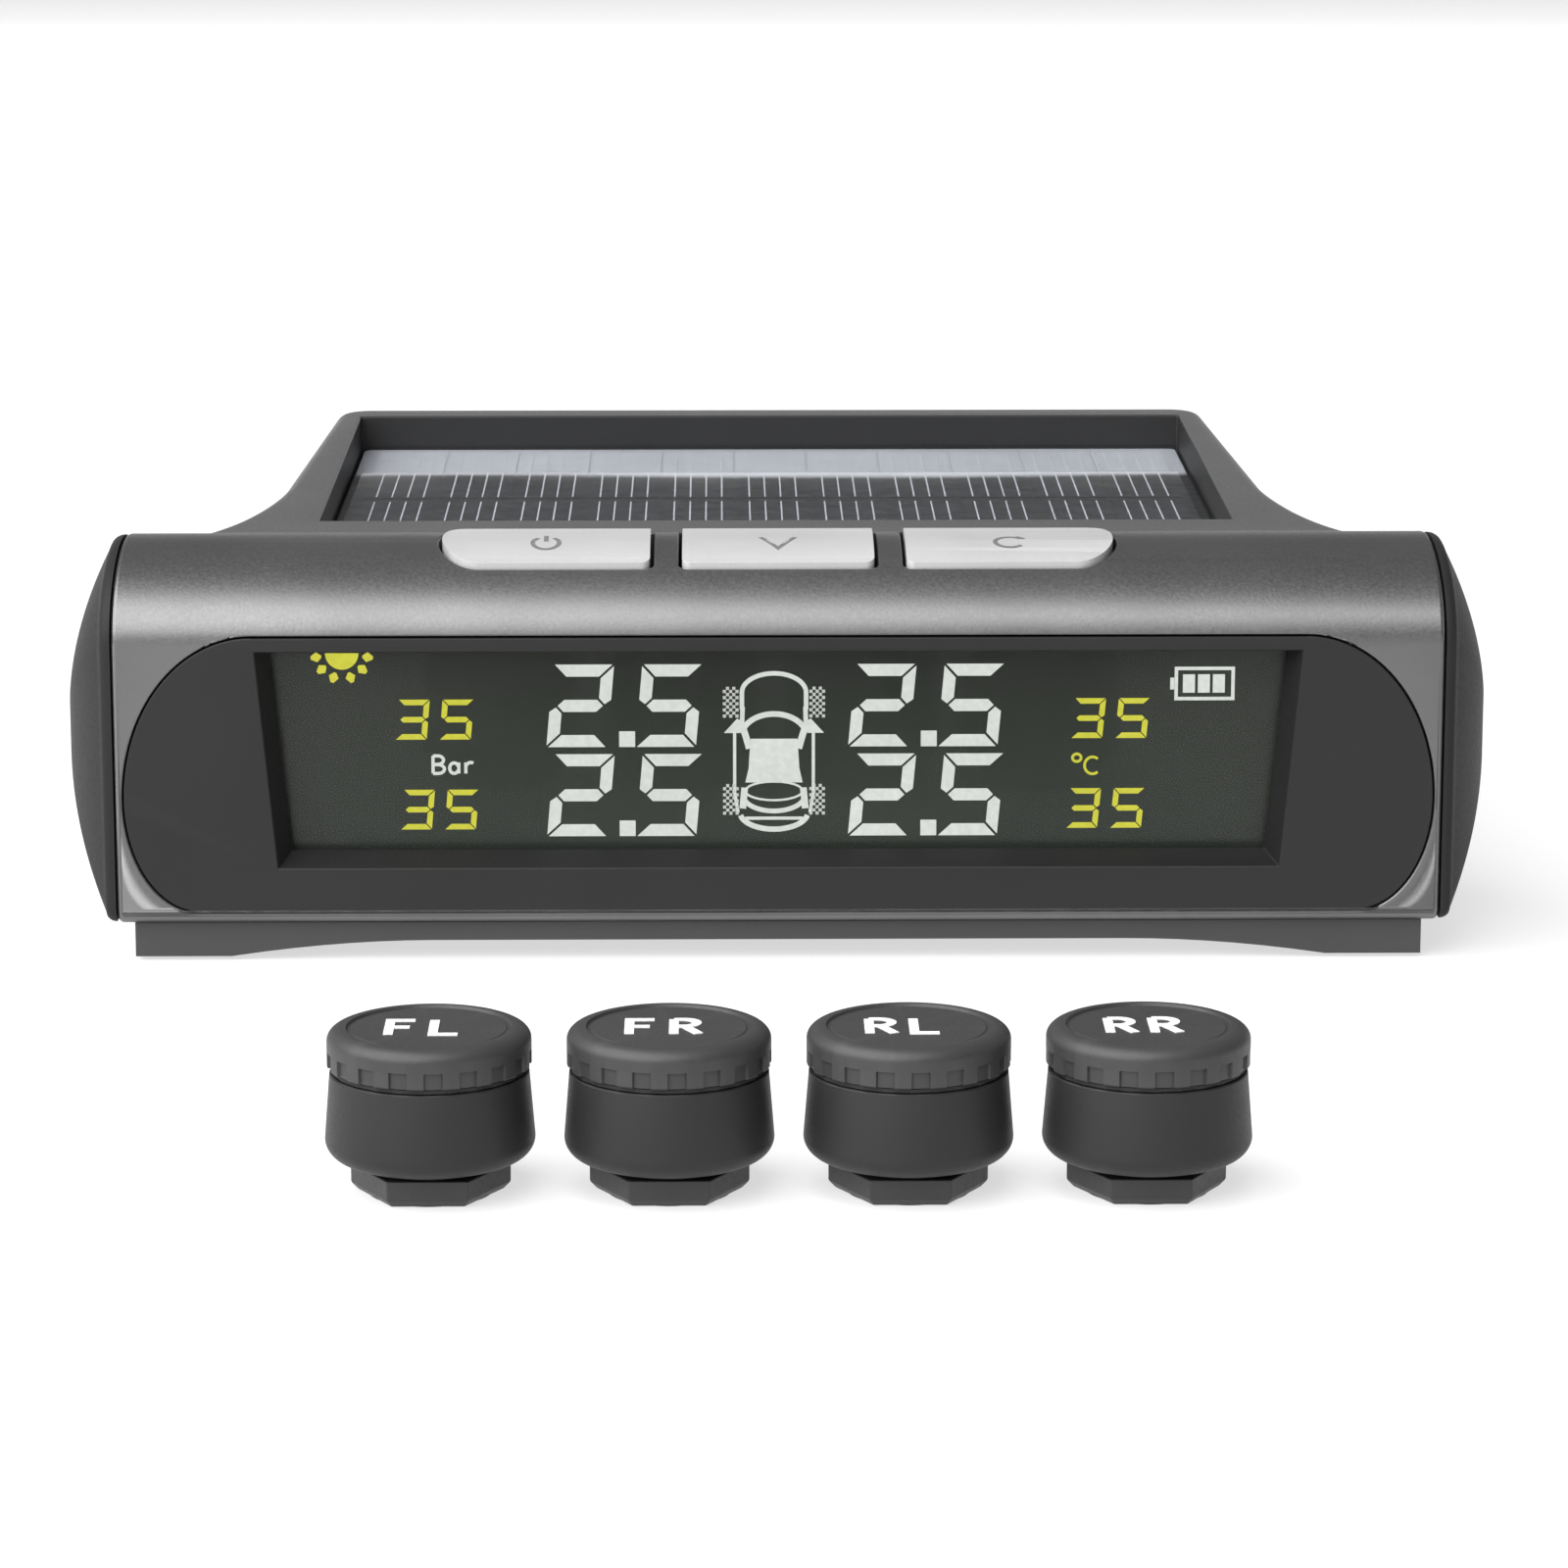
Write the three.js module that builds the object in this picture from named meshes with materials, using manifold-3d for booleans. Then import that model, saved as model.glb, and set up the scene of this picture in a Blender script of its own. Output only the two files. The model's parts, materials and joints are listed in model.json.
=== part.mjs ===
// Solar dashboard tyre pressure monitor with four valve-cap sensors.
// Millimetres. +X to the right, +Y to the rear, +Z up.
// The origin is on the resting surface, under the monitor's middle.
import * as THREE from 'three';
import { mergeVertices } from 'three/addons/utils/BufferGeometryUtils.js';
import Module from 'manifold-3d';

const wasm = await Module();
wasm.setup();

// ---------------------------------------------------------------- driving dimensions
const GAP = 0.3; // clearance between a piece and the opening that it sits in
const WALL = 1.8; // moulded wall

const BAR = {
  halfWidth: 49.5, front: -39, crown: -27.5, rear: -14.5, // along Y
  bottom: 3, shoulder: 24.2, top: 30.5, rearShoulder: 19, toe: 1.1, heel: 8, // along Z
};
const DECK = {
  rear: 38, rearHalf: 37.6, waistHalf: 39.2, waist: -3, corner: 3, top: 30.2, edge: 1, root: 3,
};
const END_CAP = {
  bulge: 4.4, edge: 0.9, centreY: -26.8, centreZ: 16.6, pegRadius: 1.2, pegLength: 1.6, pegSpread: 5.5,
};
const BEZEL = {
  half: 48.8, bottom: 4, top: 24.8, thickness: 1, topRx: 9.6, bottomRx: 5.6, bottomRz: 8.5,
  collarHalf: 41, collarBottom: 6.3, collarTop: 24.3, collarBack: -36.9,
};
const WINDOW = { topHalf: 38.9, bottomHalf: 37.4, bottom: 7.3, top: 23.75, draft: 1, draftTop: 0.2 };
const SOLAR = { half: 35.3, front: -19, rear: 33.6, shelf: 24.5, ceiling: 22.7, surface: 27.7 };
const BUTTON = { front: -34.2, rear: -24.8, endReach: 3, proud: 0.3, bottom: 27.6, stemRadius: 1.5 };
const BUTTON_SPANS = { power_button: [-25.3, -9.6], menu_button: [-7.2, 7.2], set_button: [9.6, 25.3] };
const SWITCH = {
  side: 6, centreY: -26.3, bottom: 22.1, top: 24.8, plungerRadius: 1.4, wellDepth: 1.5, plungerTop: 25.8,
};
const BUTTON_BOARD = { half: 28, front: -29.4, rear: -19.4, bottom: 21, top: 22 };
const LCD = { half: 40, bottom: 5.8, top: 24.1 };
const BASE = { inset: 1.2, bottom: 0.3, step: 2.9, plugTop: 4.6, archHalf: 43, archFlat: 26, archTop: 1.5 };
const PAD = {
  half: 25, front: -24, rear: 20, // the sticky pad in the middle
  footInner: 43.8, footOuter: 47, footFront: -35, footRear: -26, top: 0.9,
};
const SCREW = {
  places: [[-41, -26.4], [41, -26.4], [-31, 31.5], [31, 31.5]],
  radius: 1, headRadius: 2, headTop: 2.4, headBottom: 1.6, tip: 11,
  bossRadius: 2.6, pilot: 1.3, bossBottom: 4.9,
};
const MAIN_BOARD = {
  half: 26, front: -16, rear: 33, bottom: 7.2, thickness: 1.2, postRadius: 1.8,
  posts: [[-22, -12], [22, -12], [-22, 24], [22, 24]],
};
const USB = {
  half: 3.75, front: 30.6, rear: 36.9, bottom: 8.5, top: 11.2, shell: 0.4, depth: 4.5,
  tongueHalf: 1.9, tongueBottom: 9.9, tongueTop: 10.5, holeHalf: 4.7, holeBottom: 7.9, holeTop: 11.8,
};
const RADIO = { left: 9, right: 23, front: -13, rear: -1, height: 2.2 };
const BUZZER = { x: -17, y: -11, radius: 4, height: 4, soundHole: 0.9 };
const ANTENNA = { x: 16, y: 3, turns: 5, pitch: 1.5, radius: 1.5, wire: 0.4, rise: 2 };
const BATTERY = { halfX: 22, front: -9, rear: 21, bottom: 12.8, top: 17.8 };
const SENSOR = {
  names: ['front_left', 'front_right', 'rear_left', 'rear_right'], pitch: 15.45, row: -98, sides: 32,
  bodyRadius: 6.8, bodyBottom: 2.1, bodyTop: 8, shoulderRadius: 6.4, collarRadius: 5.75, collarTop: 9.3,
  chamberRadius: 5.2, floor: 3.6,
  neckFlats: 9, neckTop: 1.8, neckChamfer: 0.5, boreRadius: 3.85, boreTop: 4.7,
  shankRadius: 4.25, shankTop: 5.1, pinRadius: 0.6, pinTip: 4.3,
  boardBottom: 5.2, boardTop: 5.8, cellBottom: 5.9, cellTop: 8.4, cellRadius: 5,
  capBottom: 8.4, capBore: 5.95, capRoof: 9.6, bandRadius: 6.5, bandTop: 9.9, rimRadius: 6.6, top: 10.9,
  notches: 24, notchDepth: 0.3,
};

// ---------------------------------------------------------------- shape helpers
// A closed three.js geometry as a manifold solid, faces out.
function solid(geometry) {
  const bare = geometry.index ? geometry.toNonIndexed() : geometry.clone();
  bare.deleteAttribute('normal');
  bare.deleteAttribute('uv');
  const merged = mergeVertices(bare, 1e-4);
  const corners = [];
  for (let i = 0; i < merged.index.count; i += 3) {
    const [a, b, c] = [merged.index.getX(i), merged.index.getX(i + 1), merged.index.getX(i + 2)];
    if (a !== b && b !== c && c !== a) corners.push(a, b, c);
  }
  const vertProperties = merged.attributes.position.array;
  const build = (order) => new wasm.Manifold(
    new wasm.Mesh({ numProp: 3, vertProperties, triVerts: new Uint32Array(order) }),
  );
  const made = build(corners);
  return made.volume() >= 0 ? made : build(corners.reverse());
}

const join = (...solids) => solids.reduce((a, b) => a.add(b));
const cut = (body, ...tools) => tools.reduce((a, b) => a.subtract(b), body);

function shapeOf(points) {
  return new THREE.Shape(points.map(([a, b]) => new THREE.Vector2(a, b)));
}

function extrude(outline, length, curveSegments = 8) {
  const shape = outline instanceof THREE.Shape ? outline : shapeOf(outline);
  return new THREE.ExtrudeGeometry(shape, { depth: length, bevelEnabled: false, curveSegments });
}

// An outline in X and Y, standing from z0 to z1.
const extrudeZ = (outline, z0, z1) => solid(extrude(outline, z1 - z0).translate(0, 0, z0));

// An outline in Y and Z, running from x0 to x1.
function extrudeX(outline, x0, x1) {
  const turn = new THREE.Matrix4().makeBasis(
    new THREE.Vector3(0, 1, 0), new THREE.Vector3(0, 0, 1), new THREE.Vector3(1, 0, 0),
  );
  return solid(extrude(outline, x1 - x0).applyMatrix4(turn).translate(x0, 0, 0));
}

// An outline in X and Z, running from y0 to y1.
function extrudeY(outline, y0, y1) {
  return solid(extrude(outline, y1 - y0).rotateX(Math.PI / 2).translate(0, y1, 0));
}

function box(x0, x1, y0, y1, z0, z1) {
  const centred = new THREE.BoxGeometry(x1 - x0, y1 - y0, z1 - z0);
  return solid(centred.translate((x0 + x1) / 2, (y0 + y1) / 2, (z0 + z1) / 2));
}

function post(x, y, z0, z1, radius, sides = 16) {
  const lying = new THREE.CylinderGeometry(radius, radius, z1 - z0, sides);
  return solid(lying.rotateX(Math.PI / 2).translate(x, y, (z0 + z1) / 2));
}

// A profile of [radius, height] pairs turned about the Z axis.
function turned(profile, sides = SENSOR.sides) {
  const points = profile.map(([r, z]) => new THREE.Vector2(r, z));
  return solid(new THREE.LatheGeometry(points, sides).rotateX(Math.PI / 2));
}

// A solid skin over rings of points that all have the same number of points, closed at both ends.
function loft(rings) {
  const count = rings[0].length;
  const middles = [rings[0], rings.at(-1)].map((ring) => ring
    .reduce((sum, p) => sum.add(new THREE.Vector3(...p)), new THREE.Vector3())
    .divideScalar(count));
  const corners = [];
  const face = (...points) => points.forEach((p) => corners.push(...(p.isVector3 ? p.toArray() : p)));
  for (let i = 0; i < count; i++) {
    const j = (i + 1) % count;
    face(middles[0], rings[0][j], rings[0][i]);
    face(middles[1], rings.at(-1)[i], rings.at(-1)[j]);
    for (let k = 0; k + 1 < rings.length; k++) {
      face(rings[k][i], rings[k][j], rings[k + 1][j]);
      face(rings[k][i], rings[k + 1][j], rings[k + 1][i]);
    }
  }
  const position = new THREE.Float32BufferAttribute(corners, 3);
  return solid(new THREE.BufferGeometry().setAttribute('position', position));
}

function arc(cx, cy, rx, ry, from, to, steps) {
  return Array.from({ length: steps + 1 }, (_, i) => {
    const a = from + ((to - from) * i) / steps;
    return [cx + rx * Math.cos(a), cy + ry * Math.sin(a)];
  });
}

// ---------------------------------------------------------------- materials
function finish(color, roughness, metalness = 0, extra = {}) {
  return new THREE.MeshStandardMaterial({ color, roughness, metalness, ...extra });
}
const MATERIALS = {
  housing: finish(0x5a5b5c, 0.5),
  bezel: finish(0x3c3c3d, 0.55),
  button: finish(0xcfcfcf, 0.35),
  clear: finish(0xdfe6e6, 0.1, 0, { transparent: true, opacity: 0.35 }),
  display: finish(0x3b3f3b, 0.3),
  cell: finish(0x2b2d31, 0.3),
  board: finish(0x1f5a34, 0.5),
  metal: finish(0xb9bbbd, 0.35, 1),
  brass: finish(0xb08d4a, 0.35, 1),
  black: finish(0x1f1f20, 0.6),
  rubber: finish(0x2a2a2a, 0.85),
  battery: finish(0xa9adb3, 0.4, 0.3),
  sensor: finish(0x3b3b3c, 0.55),
};

const monitor = new THREE.Group();
function add(name, body, material, parent = monitor) {
  const mesh = body.getMesh();
  const geometry = new THREE.BufferGeometry()
    .setAttribute('position', new THREE.BufferAttribute(new Float32Array(mesh.vertProperties), 3))
    .setIndex(new THREE.BufferAttribute(new Uint32Array(mesh.triVerts), 1));
  geometry.computeVertexNormals();
  const piece = new THREE.Mesh(geometry, MATERIALS[material]);
  piece.name = name;
  parent.add(piece);
}

// ---------------------------------------------------------------- housing outlines
const QUARTER = Math.PI / 2;

// Section of the front bar in Y and Z, taken in by t all round.
function barSection(t = 0) {
  const [frontReach, frontRise] = [BAR.crown - BAR.front - t, BAR.top - BAR.shoulder - t];
  const [rearReach, rearRise] = [BAR.rear - BAR.crown - t, BAR.top - BAR.rearShoulder - t];
  return [
    [BAR.front + t + BAR.toe, BAR.bottom + t],
    [BAR.front + t, BAR.bottom + t + BAR.toe],
    ...arc(BAR.crown, BAR.shoulder, frontReach, frontRise, 2 * QUARTER, QUARTER, 9),
    ...arc(BAR.crown, BAR.rearShoulder, rearReach, rearRise, QUARTER, 0, 8).slice(1),
    ...arc(BAR.rear - BAR.heel, BAR.bottom + BAR.heel, BAR.heel - t, BAR.heel - t, 0, -QUARTER, 4),
  ].reverse();
}

// Height of the bar's crown over a place y, at or in front of the buttons' rear edge.
function crownHeight(y) {
  const [reach, rise, base] = y < BAR.crown
    ? [BAR.crown - BAR.front, BAR.top - BAR.shoulder, BAR.shoulder]
    : [BAR.rear - BAR.crown, BAR.top - BAR.rearShoulder, BAR.rearShoulder];
  return base + rise * Math.sqrt(1 - ((y - BAR.crown) / reach) ** 2);
}

// Plan of the solar deck in X and Y, which flares out to the bar, taken in by t.
function deckPlan(t = 0) {
  const right = new THREE.Path();
  right.moveTo(0, DECK.rear - t);
  right.lineTo(DECK.rearHalf - DECK.corner, DECK.rear - t);
  right.quadraticCurveTo(DECK.rearHalf - t, DECK.rear - t, DECK.rearHalf - t, DECK.rear - DECK.corner);
  right.lineTo(DECK.waistHalf - t, DECK.waist);
  right.bezierCurveTo(
    DECK.waistHalf + 0.6 - t, DECK.waist - 8, DECK.waistHalf + 3.3 - t, BAR.crown - t,
    BAR.halfWidth - t, BAR.crown - t,
  );
  right.lineTo(BAR.halfWidth - t, BAR.crown - DECK.root);
  const half = right.getPoints(6).map((p) => [p.x, p.y]);
  const mirrored = half.slice(1).reverse().map(([x, y]) => [-x, y]);
  return [...mirrored, ...half].reverse();
}

function barSolid(t) {
  return extrudeX(barSection(t), -BAR.halfWidth + t, BAR.halfWidth - t);
}

// Plan of the whole body, taken in by t, from z0 to z1.
function footprint(t, z0, z1) {
  const bar = box(-BAR.halfWidth + t, BAR.halfWidth - t, BAR.front + t, BAR.rear - BAR.heel - t, z0, z1);
  const deck = extrudeZ(deckPlan(t), z0, z1);
  return join(bar, deck);
}

// ---------------------------------------------------------------- upper housing
function bezelOutline(grow = 0) {
  const midZ = BEZEL.bottom + BEZEL.bottomRz;
  const topRz = BEZEL.top - midZ;
  const right = [
    ...arc(BEZEL.half - BEZEL.bottomRx, midZ, BEZEL.bottomRx + grow, BEZEL.bottomRz + grow, -QUARTER, 0, 6),
    ...arc(BEZEL.half - BEZEL.topRx, midZ, BEZEL.topRx + grow, topRz + grow, 0, QUARTER, 8).slice(1),
  ];
  return [...right, ...right.map(([x, z]) => [-x, z]).reverse()];
}

function buttonPlan(name, grow) {
  const [x0, x1] = BUTTON_SPANS[name];
  const [y0, y1] = [BUTTON.front - grow, BUTTON.rear + grow];
  const radius = (y1 - y0) / 2;
  const middle = (y0 + y1) / 2;
  const reach = BUTTON.endReach + grow;
  const left = name === 'power_button'
    ? arc(x0 - grow + reach, middle, reach, radius, QUARTER, 3 * QUARTER, 8)
    : [[x0 - grow, y1], [x0 - grow, y0]];
  const right = name === 'set_button'
    ? arc(x1 + grow - reach, middle, reach, radius, -QUARTER, QUARTER, 8)
    : [[x1 + grow, y0], [x1 + grow, y1]];
  return [...left, ...right];
}

function deckSolid() {
  const shape = shapeOf(deckPlan(DECK.edge));
  const height = DECK.top - BAR.bottom;
  const raised = new THREE.ExtrudeGeometry(shape, {
    depth: height, curveSegments: 1,
    bevelEnabled: true, bevelThickness: DECK.edge, bevelSize: DECK.edge, bevelSegments: 2,
  });
  const standing = solid(raised.translate(0, 0, BAR.bottom - DECK.edge));
  return standing.intersect(box(-60, 60, -60, 60, BAR.bottom, BAR.top + 5));
}

function pegPlaces() {
  return [-1, 1].map((side) => END_CAP.centreY + side * END_CAP.pegSpread);
}

function upperHousing() {
  const outside = join(barSolid(0), deckSolid()).asOriginal();
  const hollowBar = extrudeX(barSection(WALL), -BAR.halfWidth + WALL, BAR.halfWidth - WALL);
  const hollowDeck = extrudeZ(deckPlan(WALL), BAR.bottom - 1, SOLAR.ceiling);
  const mouth = footprint(WALL, BAR.bottom - 1, BAR.bottom + 6);
  let body = cut(outside, hollowBar, hollowDeck, mouth);
  // The shelf under the solar panel, where the deck's floor meets the hollow bar.
  const shelf = box(
    -SOLAR.half - 1, SOLAR.half + 1, SOLAR.front - 1.2, SOLAR.rear + 1, SOLAR.ceiling, SOLAR.surface,
  );
  body = join(body, shelf);
  const panelPocket = box(-SOLAR.half, SOLAR.half, SOLAR.front, SOLAR.rear, SOLAR.shelf, DECK.top + 2);
  const wireHole = post(0, SOLAR.rear - 6, SOLAR.ceiling - 1, SOLAR.shelf + 1, 2.5);
  body = cut(body, panelPocket, wireHole);
  // Screw bosses hang from the bar's roof and from the panel shelf, and end above the base cover's plug.
  SCREW.places.forEach(([x, y], index) => {
    const roof = index < 2 ? crownHeight(y) - WALL / 2 : SOLAR.ceiling + 0.5;
    body = join(body, post(x, y, SCREW.bossBottom, roof, SCREW.bossRadius));
    body = cut(body, post(x, y, BAR.bottom - 1, SCREW.tip + 1.5, SCREW.pilot, 12));
  });
  // Front pocket for the bezel, with the opening for its collar.
  const pocket = extrudeY(bezelOutline(GAP / 2), BAR.front - 2, BAR.front + BEZEL.thickness + 0.1);
  const collarHole = box(
    -BEZEL.collarHalf - GAP, BEZEL.collarHalf + GAP, BAR.front - 2, BAR.front + WALL + 1,
    BEZEL.collarBottom - GAP, BEZEL.collarTop + GAP / 2,
  );
  body = cut(body, pocket, collarHole);
  for (const name of Object.keys(BUTTON_SPANS)) {
    body = cut(body, extrudeZ(buttonPlan(name, GAP), BAR.top - 4.2, BAR.top + 2));
  }
  for (const y of pegPlaces()) {
    const radius = END_CAP.pegRadius + GAP;
    const pegHole = new THREE.CylinderGeometry(radius, radius, 4 * BAR.halfWidth, 12).rotateZ(QUARTER);
    body = cut(body, solid(pegHole.translate(0, y, END_CAP.centreZ)));
  }
  const usbHole = box(
    -USB.holeHalf, USB.holeHalf, DECK.rear - WALL - 1, DECK.rear + 1, USB.holeBottom, USB.holeTop,
  );
  return cut(body, usbHole);
}
add('upper_housing', upperHousing(), 'housing');

// ---------------------------------------------------------------- base cover, pads and screws
function baseCover() {
  const plate = footprint(BASE.inset, BASE.bottom, BASE.step);
  const plug = footprint(WALL + GAP, BASE.step - 0.2, BASE.plugTop)
    .intersect(box(-60, 60, BAR.front + WALL + 1.4, 60, 0, BASE.plugTop));
  let body = join(plate, plug);
  const arch = new THREE.Shape();
  arch.moveTo(-BASE.archHalf, 0);
  arch.quadraticCurveTo(-BASE.archHalf + 9, BASE.archTop, -BASE.archFlat, BASE.archTop);
  arch.lineTo(BASE.archFlat, BASE.archTop);
  arch.quadraticCurveTo(BASE.archHalf - 9, BASE.archTop, BASE.archHalf, 0);
  arch.lineTo(BASE.archHalf, -1);
  arch.lineTo(-BASE.archHalf, -1);
  body = cut(body, extrudeY(arch, -60, 60));
  for (const side of [-1, 1]) {
    const [x0, x1] = [side * PAD.footInner, side * PAD.footOuter].sort((a, b) => a - b);
    body = cut(body, box(x0 - 0.2, x1 + 0.2, PAD.footFront - 0.2, PAD.footRear + 0.2, -1, PAD.top + 0.1));
  }
  for (const [x, y] of SCREW.places) {
    const headHole = post(x, y, -1, SCREW.headTop + 0.1, SCREW.headRadius + GAP);
    const shankHole = post(x, y, -1, BASE.plugTop + 1, SCREW.radius + GAP, 12);
    body = cut(body, headHole, shankHole);
  }
  for (const [x, y] of MAIN_BOARD.posts) {
    body = join(body, post(x, y, BASE.plugTop - 0.5, MAIN_BOARD.bottom - 0.1, MAIN_BOARD.postRadius, 12));
  }
  return body;
}
add('base_cover', baseCover(), 'bezel');

add('adhesive_pad', box(-PAD.half, PAD.half, PAD.front, PAD.rear, 0, BASE.archTop - 0.05), 'rubber');
['left', 'right'].forEach((side, index) => {
  const [x0, x1] = index === 0 ? [-PAD.footOuter, -PAD.footInner] : [PAD.footInner, PAD.footOuter];
  add(`foot_pad_${side}`, box(x0, x1, PAD.footFront, PAD.footRear, 0, PAD.top), 'rubber');
});

SCREW.places.forEach(([x, y], index) => {
  const head = post(x, y, SCREW.headBottom, SCREW.headTop, SCREW.headRadius);
  const slots = [box(x - 1.2, x + 1.2, y - 0.25, y + 0.25, 0, SCREW.headBottom + 0.4),
    box(x - 0.25, x + 0.25, y - 1.2, y + 1.2, 0, SCREW.headBottom + 0.4)];
  const shank = post(x, y, SCREW.headTop - 0.1, SCREW.tip, SCREW.radius, 10);
  add(`screw_${index + 1}`, cut(join(head, shank), ...slots), 'metal');
});

// ---------------------------------------------------------------- display
function windowRing(y, shrink) {
  const inward = WINDOW.draft * shrink;
  const [bottom, top] = [WINDOW.bottom + inward, WINDOW.top - WINDOW.draftTop * shrink];
  return [
    [-WINDOW.topHalf + inward, y, top], [WINDOW.topHalf - inward, y, top],
    [WINDOW.bottomHalf - inward, y, bottom], [-WINDOW.bottomHalf + inward, y, bottom],
  ];
}

function displayBezel() {
  const plate = extrudeY(bezelOutline(), BAR.front, BAR.front + BEZEL.thickness);
  const collar = box(
    -BEZEL.collarHalf, BEZEL.collarHalf, BAR.front + BEZEL.thickness / 2, BEZEL.collarBack,
    BEZEL.collarBottom, BEZEL.collarTop,
  );
  const depth = BEZEL.collarBack - BAR.front;
  const mouth = windowRing(BAR.front - 1, -1 / depth);
  const opening = loft([mouth, windowRing(BEZEL.collarBack + 1, 1 + 1 / depth)]);
  return cut(join(plate, collar), opening);
}
add('display_bezel', displayBezel(), 'bezel');

const layer = (y0, y1) => box(-LCD.half, LCD.half, y0, y1, LCD.bottom, LCD.top);
add('window_lens', layer(-36.8, -36), 'clear');
add('lcd_panel', layer(-35.9, -34.1), 'display');
add('lcd_backlight', layer(-34, -31), 'clear');
add('lcd_board', layer(-30.9, -29.8), 'board');

// ---------------------------------------------------------------- buttons and their switches
add('button_board', box(
  -BUTTON_BOARD.half, BUTTON_BOARD.half, BUTTON_BOARD.front, BUTTON_BOARD.rear,
  BUTTON_BOARD.bottom, BUTTON_BOARD.top,
), 'board');

Object.entries(BUTTON_SPANS).forEach(([name, [x0, x1]], index) => {
  const [centreX, centreY] = [(x0 + x1) / 2, SWITCH.centreY];
  // The key's top follows the crown of the bar, standing a little proud of it.
  const steps = 8;
  const crown = Array.from({ length: steps + 1 }, (_, i) => {
    const y = BUTTON.front - 1 + ((BUTTON.rear - BUTTON.front + 2) * i) / steps;
    return [y, crownHeight(y) + BUTTON.proud];
  });
  const section = [[BUTTON.front - 1, BUTTON.bottom], [BUTTON.rear + 1, BUTTON.bottom], ...crown.reverse()];
  const column = extrudeX(section, -BUTTON_BOARD.half, BUTTON_BOARD.half);
  const key = extrudeZ(buttonPlan(name, 0), BUTTON.bottom, BAR.top + 3).intersect(column);
  const stem = post(centreX, centreY, SWITCH.plungerTop + 0.1, BUTTON.bottom + 0.2, BUTTON.stemRadius, 12);
  add(name, join(key, stem), 'button');

  const half = SWITCH.side / 2;
  const [left, right, front, rear] = [centreX - half, centreX + half, centreY - half, centreY + half];
  const body = box(left, right, front, rear, SWITCH.bottom, SWITCH.top);
  const wellFloor = SWITCH.top - SWITCH.wellDepth;
  const well = post(centreX, centreY, wellFloor, SWITCH.top + 1, SWITCH.plungerRadius + 0.2, 12);
  const plunger = post(centreX, centreY, SWITCH.top - 0.6, SWITCH.plungerTop, SWITCH.plungerRadius, 12);
  add(`tact_switch_${index + 1}`, cut(body, well), 'metal');
  add(`switch_plunger_${index + 1}`, plunger, 'black');
});

// ---------------------------------------------------------------- end caps
function endCap(side) {
  const section = barSection(0);
  // A small rounded edge, then a shallow dome.
  const steps = [[1, 0.05], [0.99, END_CAP.edge * 0.6], [0.96, END_CAP.edge]];
  const rise = END_CAP.bulge - END_CAP.edge;
  const shares = [0.84, 0.68, 0.48, 0.26, 0.06];
  const dome = shares.map((share) => [share, END_CAP.edge + rise * (1 - share ** 2)]);
  const rings = [...steps, ...dome].map(([share, bulge]) => section.map(([y, z]) => [
    side * (BAR.halfWidth + bulge),
    END_CAP.centreY + (y - END_CAP.centreY) * share,
    END_CAP.centreZ + (z - END_CAP.centreZ) * share,
  ]));
  let body = loft(rings);
  for (const y of pegPlaces()) {
    const middle = side * (BAR.halfWidth + 0.3 - END_CAP.pegLength / 2);
    const peg = new THREE.CylinderGeometry(END_CAP.pegRadius, END_CAP.pegRadius, END_CAP.pegLength, 10)
      .rotateZ(QUARTER).translate(middle, y, END_CAP.centreZ);
    body = join(body, solid(peg));
  }
  return body;
}
add('end_cap_left', endCap(-1), 'housing');
add('end_cap_right', endCap(1), 'housing');

// ---------------------------------------------------------------- solar panel, boards and battery
const panelLayer = (inset, z0, z1) => box(
  -SOLAR.half + inset, SOLAR.half - inset, SOLAR.front + inset, SOLAR.rear - inset, z0, z1,
);
add('solar_substrate', panelLayer(GAP, SOLAR.shelf + 0.1, SOLAR.shelf + 1.2), 'board');
add('solar_cells', panelLayer(1.6, SOLAR.shelf + 1.25, SOLAR.shelf + 1.55), 'cell');
add('solar_glass', panelLayer(GAP, SOLAR.shelf + 1.6, SOLAR.surface), 'clear');

const BOARD_TOP = MAIN_BOARD.bottom + MAIN_BOARD.thickness;
add('main_board', box(
  -MAIN_BOARD.half, MAIN_BOARD.half, MAIN_BOARD.front, MAIN_BOARD.rear, MAIN_BOARD.bottom, BOARD_TOP,
), 'board');

function usbSocket() {
  const shell = box(-USB.half, USB.half, USB.front, USB.rear, USB.bottom, USB.top);
  const inner = USB.half - USB.shell;
  const mouth = box(
    -inner, inner, USB.rear - USB.depth, USB.rear + 1, USB.bottom + USB.shell, USB.top - USB.shell,
  );
  const tongue = box(
    -USB.tongueHalf, USB.tongueHalf, USB.rear - USB.depth - 0.5, USB.rear - 0.6,
    USB.tongueBottom, USB.tongueTop,
  );
  return join(cut(shell, mouth), tongue);
}
add('usb_socket', usbSocket(), 'metal');
add('rf_module', box(
  RADIO.left, RADIO.right, RADIO.front, RADIO.rear, BOARD_TOP + 0.1, BOARD_TOP + RADIO.height,
), 'metal');

function buzzer() {
  const lid = BOARD_TOP + BUZZER.height;
  const drum = post(BUZZER.x, BUZZER.y, BOARD_TOP + 0.1, lid, BUZZER.radius, 20);
  return cut(drum, post(BUZZER.x, BUZZER.y, lid - 1, lid + 1, BUZZER.soundHole, 10));
}
add('buzzer', buzzer(), 'black');
add('battery_pack', box(
  -BATTERY.halfX, BATTERY.halfX, BATTERY.front, BATTERY.rear, BATTERY.bottom, BATTERY.top,
), 'battery');

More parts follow.
